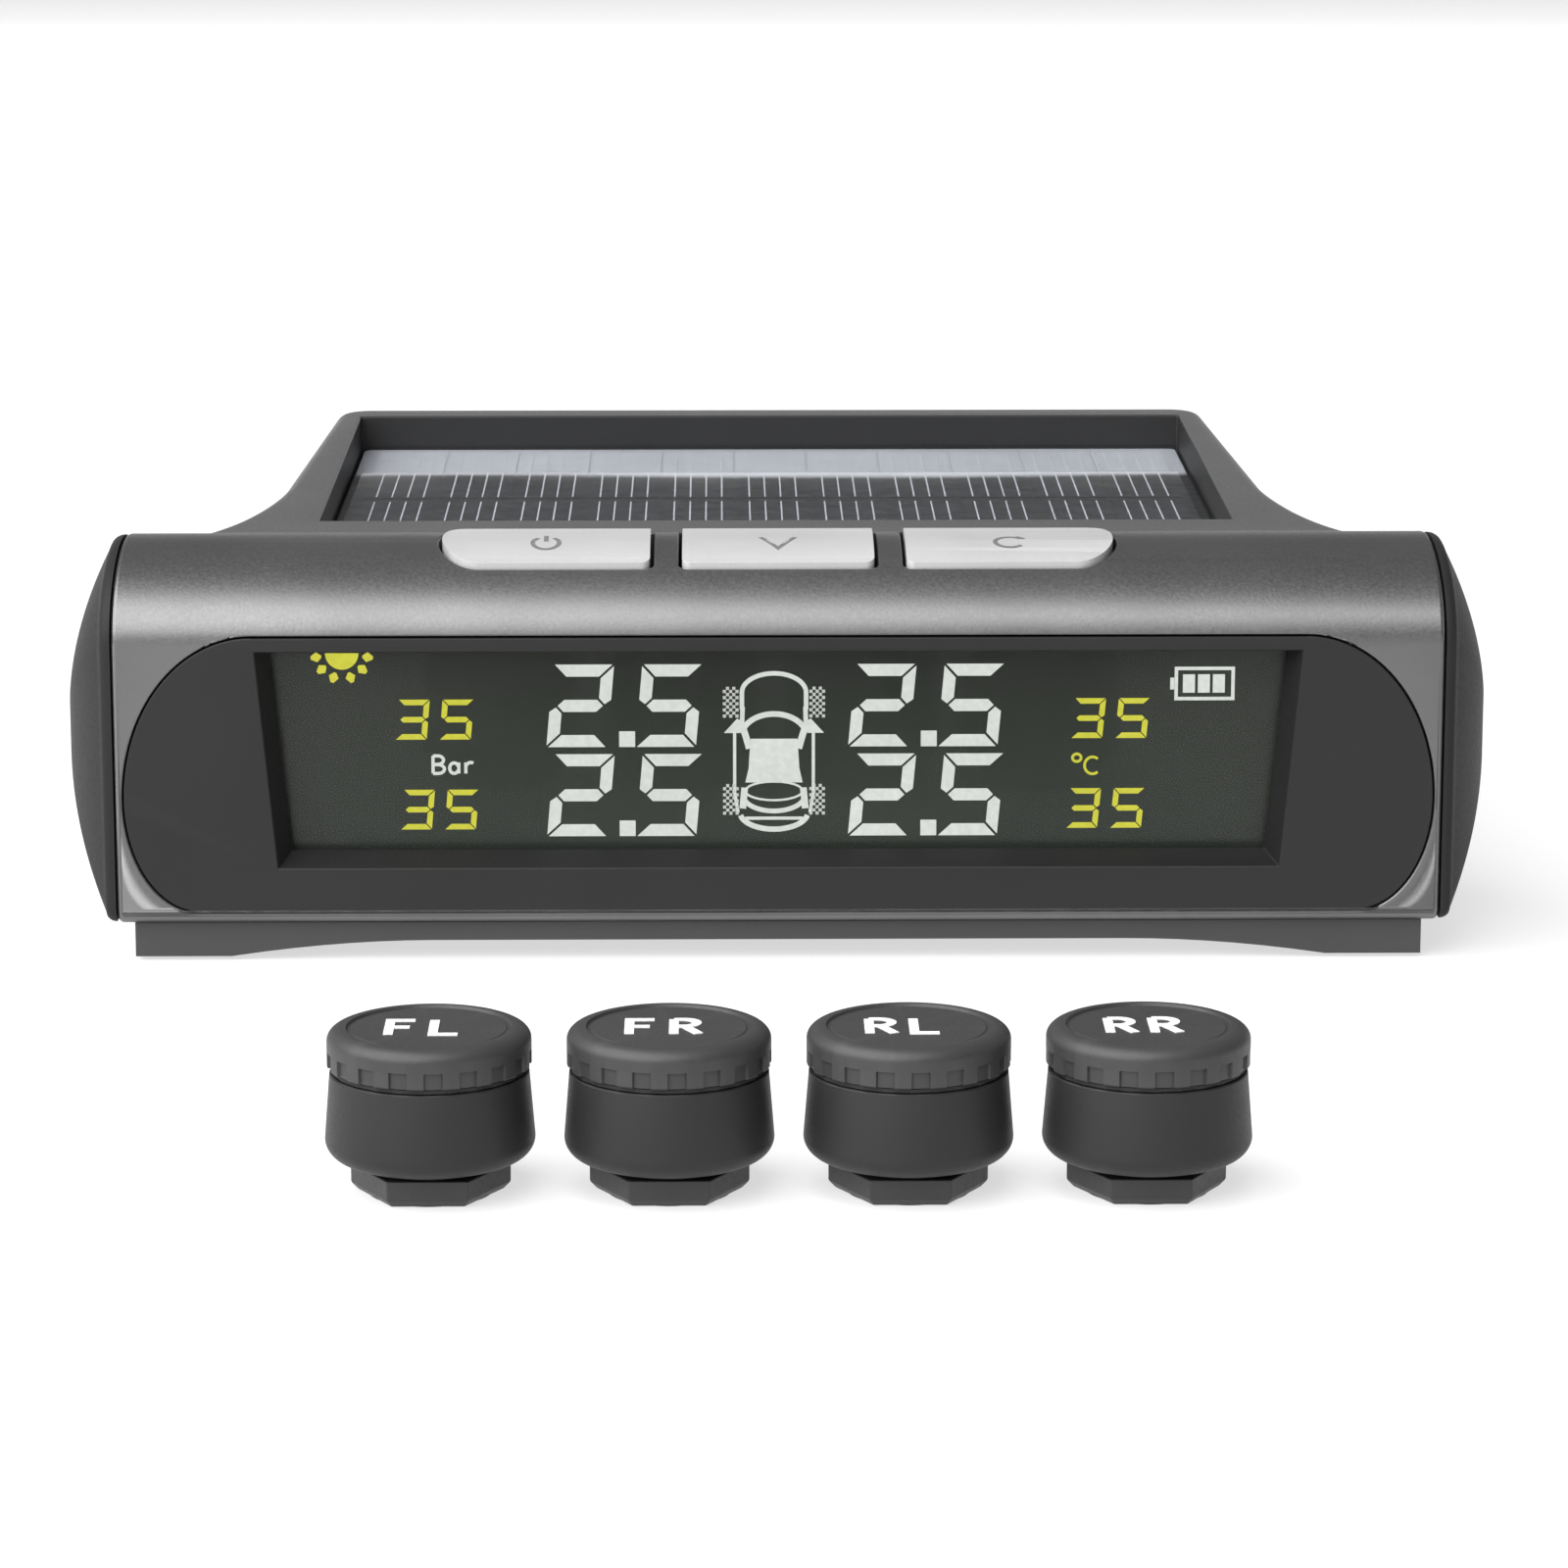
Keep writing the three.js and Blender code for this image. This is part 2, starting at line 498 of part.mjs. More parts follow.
function antenna() {
  const { turns, pitch, radius } = ANTENNA;
  class Coil extends THREE.Curve {
    getPoint(share, target = new THREE.Vector3()) {
      const angle = share * turns * 2 * Math.PI;
      return target.set(radius * Math.cos(angle), share * turns * pitch, radius * Math.sin(angle));
    }
  }
  const section = shapeOf(arc(0, 0, ANTENNA.wire, ANTENNA.wire, 0, 2 * Math.PI * (5 / 6), 5));
  const coil = new THREE.ExtrudeGeometry(section, { steps: 40, extrudePath: new Coil() });
  return solid(coil.translate(ANTENNA.x, ANTENNA.y, BOARD_TOP + ANTENNA.rise));
}
add('antenna', antenna(), 'brass');

// ---------------------------------------------------------------- valve-cap sensors
function hexagon(flats) {
  const radius = flats / Math.sqrt(3);
  return arc(0, 0, radius, radius, 0, (5 / 3) * Math.PI, 5);
}

function sensorHousing() {
  const S = SENSOR;
  const shell = turned([
    [0, S.bodyBottom], [S.bodyRadius - 2.2, S.bodyBottom], [S.bodyRadius - 0.7, S.bodyBottom + 0.5],
    [S.bodyRadius, S.bodyBottom + 1.5], [S.shoulderRadius, S.bodyTop], [S.collarRadius, S.bodyTop],
    [S.collarRadius, S.collarTop], [0, S.collarTop],
  ]);
  const chamber = post(0, 0, S.floor, S.collarTop + 1, S.chamberRadius, S.sides);
  const seat = post(0, 0, 0, S.floor + 1, S.shankRadius + GAP / 2, S.sides);
  return cut(shell, chamber, seat);
}

// The blind threaded bush that screws on the valve: a six-sided neck outside, a plain shank inside.
function sensorInsert() {
  const S = SENSOR;
  const low = hexagon(S.neckFlats - 2 * S.neckChamfer).map(([x, y]) => [x, y, 0]);
  const high = [S.neckChamfer, S.neckTop].map((z) => hexagon(S.neckFlats).map(([x, y]) => [x, y, z]));
  const shank = post(0, 0, S.neckTop - 1, S.shankTop, S.shankRadius, S.sides);
  const bore = post(0, 0, -1, S.boreTop, S.boreRadius, S.sides);
  const pin = post(0, 0, S.pinTip, S.boreTop + 0.1, S.pinRadius, 12);
  return join(cut(join(loft([low, ...high]), shank), bore), pin);
}

function sensorCap() {
  const S = SENSOR;
  const step = (2 * Math.PI) / S.notches;
  const root = S.bandRadius - S.notchDepth;
  const tooth = [[0, S.bandRadius], [0.55, S.bandRadius], [0.62, root], [0.93, root]];
  const knurl = [];
  for (let i = 0; i < S.notches; i++) {
    for (const [share, radius] of tooth) {
      const angle = (i + share) * step;
      knurl.push([radius * Math.cos(angle), radius * Math.sin(angle)]);
    }
  }
  const band = extrudeZ(knurl, S.capBottom, S.bandTop + 0.1);
  const rim = turned([
    [0, S.bandTop], [S.rimRadius, S.bandTop], [S.rimRadius, S.top - 0.6], [S.rimRadius - 0.3, S.top - 0.2],
    [S.rimRadius - 0.9, S.top], [S.rimRadius - 1.5, S.top], [S.rimRadius - 1.7, S.top - 0.15],
    [0, S.top - 0.15],
  ]);
  return cut(join(band, rim), post(0, 0, S.capBottom - 1, S.capRoof, S.capBore, S.sides));
}

function sensorSeal() {
  const S = SENSOR;
  return turned([
    [S.collarRadius + 0.08, S.bodyTop + 0.08], [S.shoulderRadius - 0.1, S.bodyTop + 0.08],
    [S.shoulderRadius - 0.1, S.capBottom - 0.08], [S.collarRadius + 0.08, S.capBottom - 0.08],
    [S.collarRadius + 0.08, S.bodyTop + 0.08],
  ], 24);
}

SENSOR.names.forEach((name, index) => {
  const board = post(0, 0, SENSOR.boardBottom, SENSOR.boardTop, SENSOR.cellRadius, 20);
  const cell = post(0, 0, SENSOR.cellBottom, SENSOR.cellTop, SENSOR.cellRadius, 24);
  const sensor = new THREE.Group();
  sensor.position.set((index - 1.5) * SENSOR.pitch, SENSOR.row, 0);
  monitor.add(sensor);
  add(`${name}_sensor_body`, sensorHousing(), 'sensor', sensor);
  add(`${name}_sensor_cap`, sensorCap(), 'sensor', sensor);
  add(`${name}_seal_ring`, sensorSeal(), 'rubber', sensor);
  add(`${name}_valve_insert`, sensorInsert(), 'brass', sensor);
  add(`${name}_sensor_board`, board, 'board', sensor);
  add(`${name}_coin_cell`, cell, 'metal', sensor);
});

export default monitor;
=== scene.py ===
"""Looks of a solar dashboard tyre pressure monitor and its four valve-cap sensors.

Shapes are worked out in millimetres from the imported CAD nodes' boxes, then made in metres.
"""

import json
import math

import bmesh
import bpy
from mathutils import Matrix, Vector


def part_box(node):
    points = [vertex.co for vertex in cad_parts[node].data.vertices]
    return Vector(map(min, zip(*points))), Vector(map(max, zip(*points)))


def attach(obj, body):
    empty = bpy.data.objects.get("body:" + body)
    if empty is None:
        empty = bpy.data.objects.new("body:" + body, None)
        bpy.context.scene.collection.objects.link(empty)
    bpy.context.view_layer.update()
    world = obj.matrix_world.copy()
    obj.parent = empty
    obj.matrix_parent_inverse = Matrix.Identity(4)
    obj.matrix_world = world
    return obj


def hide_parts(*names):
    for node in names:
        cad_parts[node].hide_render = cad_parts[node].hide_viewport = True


MM = 0.001
TAU = 2 * math.pi

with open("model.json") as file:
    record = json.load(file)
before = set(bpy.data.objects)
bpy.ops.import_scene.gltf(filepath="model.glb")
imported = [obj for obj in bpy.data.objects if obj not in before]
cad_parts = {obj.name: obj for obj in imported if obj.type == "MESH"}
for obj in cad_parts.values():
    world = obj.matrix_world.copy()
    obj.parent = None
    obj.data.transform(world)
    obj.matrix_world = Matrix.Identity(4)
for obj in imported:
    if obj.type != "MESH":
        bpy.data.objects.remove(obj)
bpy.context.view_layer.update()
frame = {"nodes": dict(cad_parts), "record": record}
nodes = frame["nodes"]


def box_mm(node):
    """The lowest and highest corner of a CAD node, in millimetres."""
    low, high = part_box(node)
    return low / MM, high / MM


# ------------------------------------------------------------------ sizes from the CAD
HOUSE_LOW, HOUSE_HIGH = box_mm("upper_housing")
BEZEL_LOW, BEZEL_HIGH = box_mm("display_bezel")
LENS_LOW = box_mm("window_lens")[0]
LCD_LOW, LCD_HIGH = box_mm("lcd_panel")
GLASS_LOW, GLASS_HIGH = box_mm("solar_glass")
CELLS_LOW, CELLS_HIGH = box_mm("solar_cells")
CAP_HIGH = box_mm("end_cap_right")[1]

BAR_FRONT = HOUSE_LOW.y
BAR_HALF = HOUSE_HIGH.x
BAR_TOP = HOUSE_HIGH.z
BAR_BOTTOM = HOUSE_LOW.z
DECK_REAR = HOUSE_HIGH.y
CROWN_REACH = 11.5  # from the bar's front to its crown
REAR_REACH = 13.0  # from the crown to the bar's rear
FRONT_SHOULDER = 24.2  # height where the flat front turns into the crown
REAR_SHOULDER = 19.0
FRONT_RISE = BAR_TOP - FRONT_SHOULDER
REAR_RISE = BAR_TOP - REAR_SHOULDER
TOE = 1.1  # radius under the front edge
HEEL = 8.0  # radius under the rear
WALL = 1.8
CROWN_Y = BAR_FRONT + CROWN_REACH
BAR_REAR = CROWN_Y + REAR_REACH

DECK_TOP = BAR_TOP - 0.3
DECK_EDGE = 1.2  # radius round the deck's top
DECK_REAR_HALF = 37.6
DECK_WAIST_HALF = 39.2
DECK_WAIST_Y = -3.0
DECK_CORNER = 3.0
DECK_END_HALF = BAR_HALF - 0.4  # where the flare ends, just short of the bar's end
DECK_FLARE = 3.3  # how far the flare swings out over the waist before it runs to its end
TRAY_DEPTH = 1.6  # below the solar cover's lower face
TRAY_GAP = 0.3
PAINTED_REFLECTION_DEPTH = 15.0  # how far the painted reflection, a pale band in the cells' colour, reaches forward from the solar cover's rear edge

# The display window's opening in the bezel's face.
WINDOW_TOP = 23.75
WINDOW_BOTTOM = 7.3
WINDOW_TOP_HALF = 38.9
WINDOW_BOTTOM_HALF = 37.4

# Middle of the section that the end caps' domes draw in to, and the height of their straight edge.
DOME_Y = -26.8
DOME_Z = 16.6
DOME_EDGE = 0.9


# ------------------------------------------------------------------ mesh helpers
def make_object(name, points, faces, smooth_angle=35, merge=True):
    """A mesh object from points in millimetres, normals out, smooth except at sharp edges."""
    mesh = bpy.data.meshes.new(name)
    mesh.from_pydata([Vector(p) * MM for p in points], [], faces)
    if merge:
        work = bmesh.new()
        work.from_mesh(mesh)
        bmesh.ops.remove_doubles(work, verts=work.verts, dist=1e-7)
        bmesh.ops.recalc_face_normals(work, faces=work.faces)
        work.to_mesh(mesh)
        work.free()
    mesh.shade_smooth()
    mesh.set_sharp_from_angle(angle=math.radians(smooth_angle))
    made = bpy.data.objects.new(name, mesh)
    bpy.context.scene.collection.objects.link(made)
    return made


def loft(name, rings, closed=False, smooth_angle=35):
    """A skin over rings of points. The ends are capped, or joined to each other if closed."""
    count = len(rings[0])
    points = [p for ring in rings for p in ring]
    faces = []
    spans = len(rings) if closed else len(rings) - 1
    for k in range(spans):
        low, high = k * count, ((k + 1) % len(rings)) * count
        for i in range(count):
            j = (i + 1) % count
            faces.append((low + i, low + j, high + j, high + i))
    if not closed:
        faces.append(tuple(reversed(range(count))))
        faces.append(tuple(range(len(points) - count, len(points))))
    return make_object(name, points, faces, smooth_angle)


def prism(name, outline, axis, start, end, **options):
    """An outline pushed along an axis. The outline's pairs are the other two axes, in order."""

    def place(pair, along):
        values = list(pair)
        values.insert("xyz".index(axis), along)
        return values

    rings = [[place(pair, along) for pair in outline] for along in (start, end)]
    return loft(name, rings, **options)


def rectangle(x0, x1, y0, y1):
    """The four corners of a flat rectangle, counter-clockwise."""
    return [(x0, y0), (x1, y0), (x1, y1), (x0, y1)]


def block(name, low, high):
    """A box between two corners."""
    return prism(name, rectangle(low[0], high[0], low[1], high[1]), "z", low[2], high[2])


def arc(cx, cy, rx, ry, start, end, steps):
    """Points on an elliptical arc, angles in degrees."""
    turns = [math.radians(start + (end - start) * i / steps) for i in range(steps + 1)]
    return [(cx + rx * math.cos(a), cy + ry * math.sin(a)) for a in turns]


def turned(name, profile, centre, steps=128, closed=False):
    """A profile of (radius, height) pairs turned about a vertical axis through centre."""
    turns = [TAU * i / steps for i in range(steps)]
    circle = [(math.cos(a), math.sin(a)) for a in turns]
    rings = [[(centre[0] + r * x, centre[1] + r * y, z) for x, y in circle] for r, z in profile]
    return loft(name, rings, closed)


def carve(target, tool, operation="DIFFERENCE"):
    """Cuts tool out of target, or joins it on, and removes tool."""
    step = target.modifiers.new("carve", "BOOLEAN")
    step.object = tool
    step.operation = operation
    step.solver = "EXACT"
    bpy.context.view_layer.update()
    evaluated = target.evaluated_get(bpy.context.evaluated_depsgraph_get())
    result = bpy.data.meshes.new_from_object(evaluated)
    target.modifiers.clear()
    target.data = result
    bpy.data.objects.remove(tool)
    return target


def round_edges(thing, width, segments=3, angle=32, clamp=True):
    """Small rounded edges wherever two faces meet at more than the angle."""
    bevel = thing.modifiers.new("edges", "BEVEL")
    bevel.width = width * MM
    bevel.segments = segments
    bevel.limit_method = "ANGLE"
    bevel.angle_limit = math.radians(angle)
    bevel.harden_normals = True
    bevel.use_clamp_overlap = clamp
    return thing


def dress(thing, body, material, replaces=()):
    """Material, body and the CAD nodes that a piece stands for."""
    thing.data.materials.clear()
    thing.data.materials.append(material)
    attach(thing, body)
    if replaces:
        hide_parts(*replaces)
    return thing


# ------------------------------------------------------------------ materials
class Nodes:
    """Short names for building one node material."""

    def __init__(self, name):
        self.material = bpy.data.materials.new(name)
        self.material.use_nodes = True
        self.tree = self.material.node_tree
        self.tree.nodes.clear()
        self.output = self.add("ShaderNodeOutputMaterial")
        self.place = self.add("ShaderNodeTexCoord").outputs["Object"]

    def add(self, kind, **values):
        """A node with its settings and its inputs' values, named with _ for spaces."""
        node = self.tree.nodes.new(kind)
        for key, value in values.items():
            if hasattr(node, key):
                setattr(node, key, value)
            else:
                node.inputs[key.replace("_", " ")].default_value = value
        return node

    def link(self, source, target):
        self.tree.links.new(source, target)

    def noise(self, size_mm, detail=3.0, stretch=None):
        """Noise whose lumps are about size_mm across, from 0 to 1."""
        node = self.add("ShaderNodeTexNoise", Scale=1000.0 / size_mm, Detail=detail)
        source = self.place
        if stretch:
            mapping = self.add("ShaderNodeMapping", Scale=stretch)
            self.link(self.place, mapping.inputs["Vector"])
            source = mapping.outputs["Vector"]
        self.link(source, node.inputs["Vector"])
        return node.outputs["Fac"]

    def spread(self, source, low, high, from_low=0.3, from_high=0.7):
        """A source from 0 to 1 spread over low to high."""
        span = {"From_Min": from_low, "From_Max": from_high, "To_Min": low, "To_Max": high}
        node = self.add("ShaderNodeMapRange", **span)
        self.link(source, node.inputs["Value"])
        return node.outputs["Result"]

    def mix(self, factor):
        """A colour mixer's two colour inputs and its colour output."""
        node = self.add("ShaderNodeMix", data_type="RGBA")
        self.link(factor, node.inputs[0])
        first, second = [socket for socket in node.inputs if socket.type == "RGBA"]
        return first, second, next(socket for socket in node.outputs if socket.type == "RGBA")

    def tint(self, factor, first, second):
        """A colour between two given ones, by a factor from 0 to 1."""
        first_input, second_input, mixed = self.mix(factor)
        first_input.default_value = (*first, 1)
        second_input.default_value = (*second, 1)
        return mixed

    def blend(self, factor, first, second):
        """A colour between two linked ones, by a factor from 0 to 1."""
        first_input, second_input, mixed = self.mix(factor)
        self.link(first, first_input)
        self.link(second, second_input)
        return mixed

    def bump(self, height, depth_mm, strength=1.0, below=None):
        """A surface direction that follows a height, laid over another bump if given."""
        node = self.add("ShaderNodeBump", Distance=depth_mm * MM, Strength=strength)
        self.link(height, node.inputs["Height"])
        if below:
            self.link(below, node.inputs["Normal"])
        return node.outputs["Normal"]

    def edges(self, low=0.51, high=0.56):
        """Near 1 along convex edges, where handling polishes them."""
        pointiness = self.add("ShaderNodeNewGeometry").outputs["Pointiness"]
        return self.spread(pointiness, 0.0, 1.0, low, high)

    def surface(self, colour, roughness, normal, **values):
        """The finished material, from its colour, roughness and bumps."""
        shader = self.add("ShaderNodeBsdfPrincipled", **values)
        self.link(colour, shader.inputs["Base Color"])
        self.link(roughness, shader.inputs["Roughness"])
        self.link(normal, shader.inputs["Normal"])
        self.link(shader.outputs["BSDF"], self.output.inputs["Surface"])
        return self.material


def scaled(colour, share):
    """A lighter or darker colour."""
    return tuple(min(1.0, c * share) for c in colour)


def moulded_plastic(name, colour, roughness=0.45, grain_mm=0.22, grain_depth=0.012, **values):
    """Moulded plastic: spark-eroded grain, slow colour drift and slightly polished edges."""
    n = Nodes(name)
    grain = n.noise(grain_mm, 4.0)
    drift = n.noise(9.0, 2.0)
    base = n.tint(n.spread(drift, 0.0, 1.0), scaled(colour, 0.93), scaled(colour, 1.07))
    flecks = n.tint(grain, scaled(colour, 0.8), scaled(colour, 1.35))
    flecked = n.blend(n.spread(grain, 0.0, 0.35), base, flecks)
    polish = n.tint(drift, scaled(colour, 1.5), scaled(colour, 1.7))
    worn = n.blend(n.spread(n.edges(), 0.0, 0.3, 0, 1), flecked, polish)
    rough = n.spread(grain, roughness - 0.05, roughness + 0.06)
    fine = n.bump(grain, grain_depth, 0.6)
    normal = n.bump(n.noise(3.5, 1.0), 0.01, 0.25, fine)
    return n.surface(worn, rough, normal, **values)


def brushed_metal(name, colour, roughness=0.3):
    """Bare metal with fine level streaks and slow staining."""
    n = Nodes(name)
    streaks = n.noise(0.6, 4.0, (1, 1, 12))
    stain = n.noise(4.0, 3.0)
    base = n.tint(n.spread(stain, 0.0, 1.0), scaled(colour, 0.85), colour)
    rough = n.spread(streaks, roughness - 0.08, roughness + 0.12)
    return n.surface(base, rough, n.bump(streaks, 0.01, 0.4), Metallic=1.0)


def soft_rubber(name, colour):
    """Dull dark rubber with a little dust on it."""
    n = Nodes(name)
    grain = n.noise(0.35, 5.0)
    dust = n.noise(5.0, 4.0)
    base = n.tint(n.spread(dust, 0.0, 1.0), colour, scaled(colour, 2.2))
    return n.surface(base, n.spread(dust, 0.7, 0.9), n.bump(grain, 0.02, 0.5))


def circuit_board(name):
    """Green solder mask with raised tracks below it."""
    n = Nodes(name)
    tracks = n.add("ShaderNodeTexBrick", Scale=260.0, Mortar_Size=0.06)
    tracks.inputs["Color1"].default_value = (0, 0, 0, 1)
    tracks.inputs["Color2"].default_value = (0.25, 0.25, 0.25, 1)
    tracks.inputs["Mortar"].default_value = (1, 1, 1, 1)
    n.link(n.place, tracks.inputs["Vector"])
    base = n.tint(tracks.outputs["Fac"], (0.01, 0.09, 0.035), (0.03, 0.2, 0.07))
    rough = n.spread(n.noise(0.8), 0.3, 0.45)
    return n.surface(base, rough, n.bump(tracks.outputs["Fac"], 0.03, 0.5))


def foil(name):
    """The creased silvery pouch of a battery."""
    n = Nodes(name)
    creases = n.noise(6.0, 5.0)
    base = n.tint(creases, (0.42, 0.43, 0.45), (0.68, 0.69, 0.7))
    return n.surface(base, n.spread(creases, 0.25, 0.45), n.bump(creases, 0.25, 0.6), Metallic=0.9)


def clear_sheet(name, tint, gloss_roughness, reach):
    """Clear plastic: lets light straight through, and its outer faces mirror at a flat angle."""
    n = Nodes(name)
    smear = n.noise(14.0, 3.0)
    through = n.add("ShaderNodeBsdfTransparent")
    n.link(n.tint(smear, tint, scaled(tint, 1.06)), through.inputs["Color"])
    mirror = n.add("ShaderNodeBsdfGlossy")
    n.link(n.spread(smear, gloss_roughness * 0.7, gloss_roughness * 1.3), mirror.inputs["Roughness"])
    fresnel = n.add("ShaderNodeFresnel", IOR=reach)
    outer = n.add("ShaderNodeMix")
    n.link(n.add("ShaderNodeNewGeometry").outputs["Backfacing"], outer.inputs["Factor"])
    n.link(fresnel.outputs["Fac"], outer.inputs["A"])
    outer.inputs["B"].default_value = 0.0
    both = n.add("ShaderNodeMixShader")
    n.link(outer.outputs["Result"], both.inputs["Fac"])
    n.link(through.outputs["BSDF"], both.inputs[1])
    n.link(mirror.outputs["BSDF"], both.inputs[2])
    n.link(both.outputs["Shader"], n.output.inputs["Surface"])
    return n.material


def lit_symbols(name, colour, strength):
    """Backlit segments, a little uneven across the display."""
    n = Nodes(name)
    uneven = n.noise(5.0, 2.0)
    glow = n.add("ShaderNodeEmission")
    n.link(n.tint(uneven, scaled(colour, 0.86), colour), glow.inputs["Color"])
    n.link(n.spread(n.noise(0.5, 2.0), strength * 0.93, strength * 1.05), glow.inputs["Strength"])
    n.link(glow.outputs["Emission"], n.output.inputs["Surface"])
    return n.material


def display_ground(name):
    """The unlit liquid crystal: grey-green, darker and warmer towards the top and the sides in painted shade
    from the window's walls.
    """
    n = Nodes(name)
    split = n.add("ShaderNodeSeparateXYZ")
    n.link(n.place, split.inputs["Vector"])
    low, high = LCD_LOW.z * MM, LCD_HIGH.z * MM
    height = n.spread(split.outputs["Z"], 0.0, 1.0, low, high)
    # Painted shade: darker towards the top, under the window's top wall.
    painted_top_shade = n.tint(height, (0.03, 0.037, 0.031), (0.016, 0.018, 0.013))
    side = n.add("ShaderNodeMath", operation="ABSOLUTE")
    n.link(split.outputs["X"], side.inputs[0])
    away = n.spread(side.outputs["Value"], 0.0, 1.0, 0.022, 0.04)
    base = n.blend(away, painted_top_shade, n.tint(n.noise(2.0), (0.024, 0.027, 0.022), (0.027, 0.03, 0.024)))
    rough = n.spread(n.noise(1.0), 0.32, 0.4)
    return n.surface(base, rough, n.bump(n.noise(0.25), 0.004, 0.3))


def neck_metal(name):
    """Blackened brass, dull and slightly grained."""
    n = Nodes(name)
    grain = n.noise(0.3, 4.0)
    base = n.tint(grain, (0.02, 0.02, 0.02), (0.035, 0.035, 0.036))
    return n.surface(base, n.spread(grain, 0.4, 0.55), n.bump(grain, 0.008, 0.4))


def silicon(name, dark, reflection_tint):
    """Silicon under glass: dark, with a painted reflection, a pale band that lies along the rear of the
    panel.
    """
    n = Nodes(name)
    split = n.add("ShaderNodeSeparateXYZ")
    n.link(n.place, split.inputs["Vector"])
    waver_mm = 12.0  # how much the painted reflection's front edge wanders over the noise's whole range
    waver = n.add("ShaderNodeMath", operation="MULTIPLY_ADD")
    n.link(n.noise(60.0, 1.0), waver.inputs[0])
    waver.inputs[1].default_value = waver_mm * MM
    n.link(split.outputs["Y"], waver.inputs[2])
    edge = (GLASS_HIGH.y - PAINTED_REFLECTION_DEPTH + waver_mm / 2) * MM
    painted_reflection = n.spread(waver.outputs["Value"], 0.0, 1.0, edge - MM, edge + MM)
    crystal = n.add("ShaderNodeTexVoronoi", Scale=420.0)
    n.link(n.place, crystal.inputs["Vector"])
    lower = n.tint(crystal.outputs["Distance"], scaled(dark, 0.8), scaled(dark, 1.3))
    upper = n.tint(crystal.outputs["Distance"], scaled(reflection_tint, 0.94), scaled(reflection_tint, 1.04))
    # Painted reflection: the pale band along the rear of the cells stands in for light that the cover mirrors
    # there.
    base = n.blend(painted_reflection, lower, upper)
    rough = n.spread(n.noise(1.5), 0.3, 0.42)
    return n.surface(base, rough, n.bump(crystal.outputs["Distance"], 0.01, 0.2))


def printed_paint(name, colour):
    """Thin printed paint, a little worn."""
    n = Nodes(name)
    wear = n.noise(0.4, 4.0)
    base = n.tint(n.spread(wear, 0.0, 1.0), scaled(colour, 0.85), colour)
    return n.surface(base, n.spread(wear, 0.45, 0.6), n.bump(wear, 0.01, 0.4))


def pale_floor(name):
    """A white table, lit a little from below so that its far side stays white too."""
    n = Nodes(name)
    base = n.tint(n.noise(60.0, 2.0), (0.36, 0.36, 0.36), (0.38, 0.38, 0.38))
    rough = n.spread(n.noise(3.0), 0.85, 0.95)
    glow = {"Emission_Color": (1, 1, 1, 1), "Emission_Strength": 0.64, "Specular_IOR_Level": 0.1}
    return n.surface(base, rough, n.bump(n.noise(0.8), 0.01, 0.1), **glow)


HOUSING = moulded_plastic("housing_plastic", (0.155, 0.155, 0.157), 0.4, 0.26, 0.014, Metallic=0.9)
BEZEL = moulded_plastic("bezel_plastic", (0.017, 0.017, 0.0175), 0.5, 0.12, 0.004, Specular_IOR_Level=0.25)
BASE = moulded_plastic("base_plastic", (0.035, 0.035, 0.036), 0.5, 0.3, 0.014)
SILVER = moulded_plastic("button_plastic", (0.46, 0.46, 0.46), 0.33, 0.3, 0.004, Metallic=0.2)
SENSOR = moulded_plastic("sensor_plastic", (0.018, 0.018, 0.0185), 0.5, 0.24, 0.012, Specular_IOR_Level=0.3)
SENSOR_CAP = moulded_plastic("sensor_cap_plastic", (0.032, 0.032, 0.033), 0.5, 0.24, 0.01)
BLACK = moulded_plastic("black_plastic", (0.01, 0.01, 0.01), 0.55, 0.3, 0.01, Specular_IOR_Level=0.2)
MILKY = moulded_plastic("light_guide_plastic", (0.75, 0.77, 0.75), 0.25, 0.5, 0.002)
STEEL = brushed_metal("plated_steel", (0.55, 0.55, 0.57), 0.28)
BRASS = brushed_metal("machined_brass", (0.72, 0.5, 0.2), 0.28)
RUBBER = soft_rubber("pad_rubber", (0.02, 0.02, 0.02))
SEAL = soft_rubber("seal_rubber", (0.012, 0.012, 0.012))
BOARD = circuit_board("circuit_board")
FOIL = foil("foil_pouch")
WINDOW = clear_sheet("clear_window", (0.88, 0.89, 0.88), 0.04, 1.15)
COVER = clear_sheet("solar_cover", (0.9, 0.91, 0.93), 0.03, 1.45)
GROUND = display_ground("display_ground")
WHITE_GLOW = lit_symbols("white_segments", (0.96, 0.98, 0.95), 0.95)
YELLOW_GLOW = lit_symbols("yellow_segments", (0.93, 0.9, 0.1), 0.9)
DIM_GLOW = lit_symbols("tyre_segments", (0.96, 0.98, 0.95), 0.75)
NECK = neck_metal("blackened_neck")
# Both carry the painted reflection, a pale band along the rear of the solar panel.
SILICON = silicon("solar_silicon", (0.007, 0.0072, 0.008), (0.8, 0.8, 0.8))
BACKING = silicon("cell_backing", (0.005, 0.005, 0.0055), (0.72, 0.72, 0.72))
FINGER = printed_paint("cell_fingers", (0.85, 0.85, 0.86))
ICON = printed_paint("icon_paint", (0.16, 0.16, 0.165))
LETTER = printed_paint("letter_paint", (0.85, 0.85, 0.85))
FLOOR = pale_floor("pale_floor")
CARD = soft_rubber("card_felt", (0.012, 0.012, 0.012))
END_PLASTIC = moulded_plastic(
    "end_cap_plastic", (0.018, 0.018, 0.0185), 0.55, 0.26, 0.012, Specular_IOR_Level=0.15)


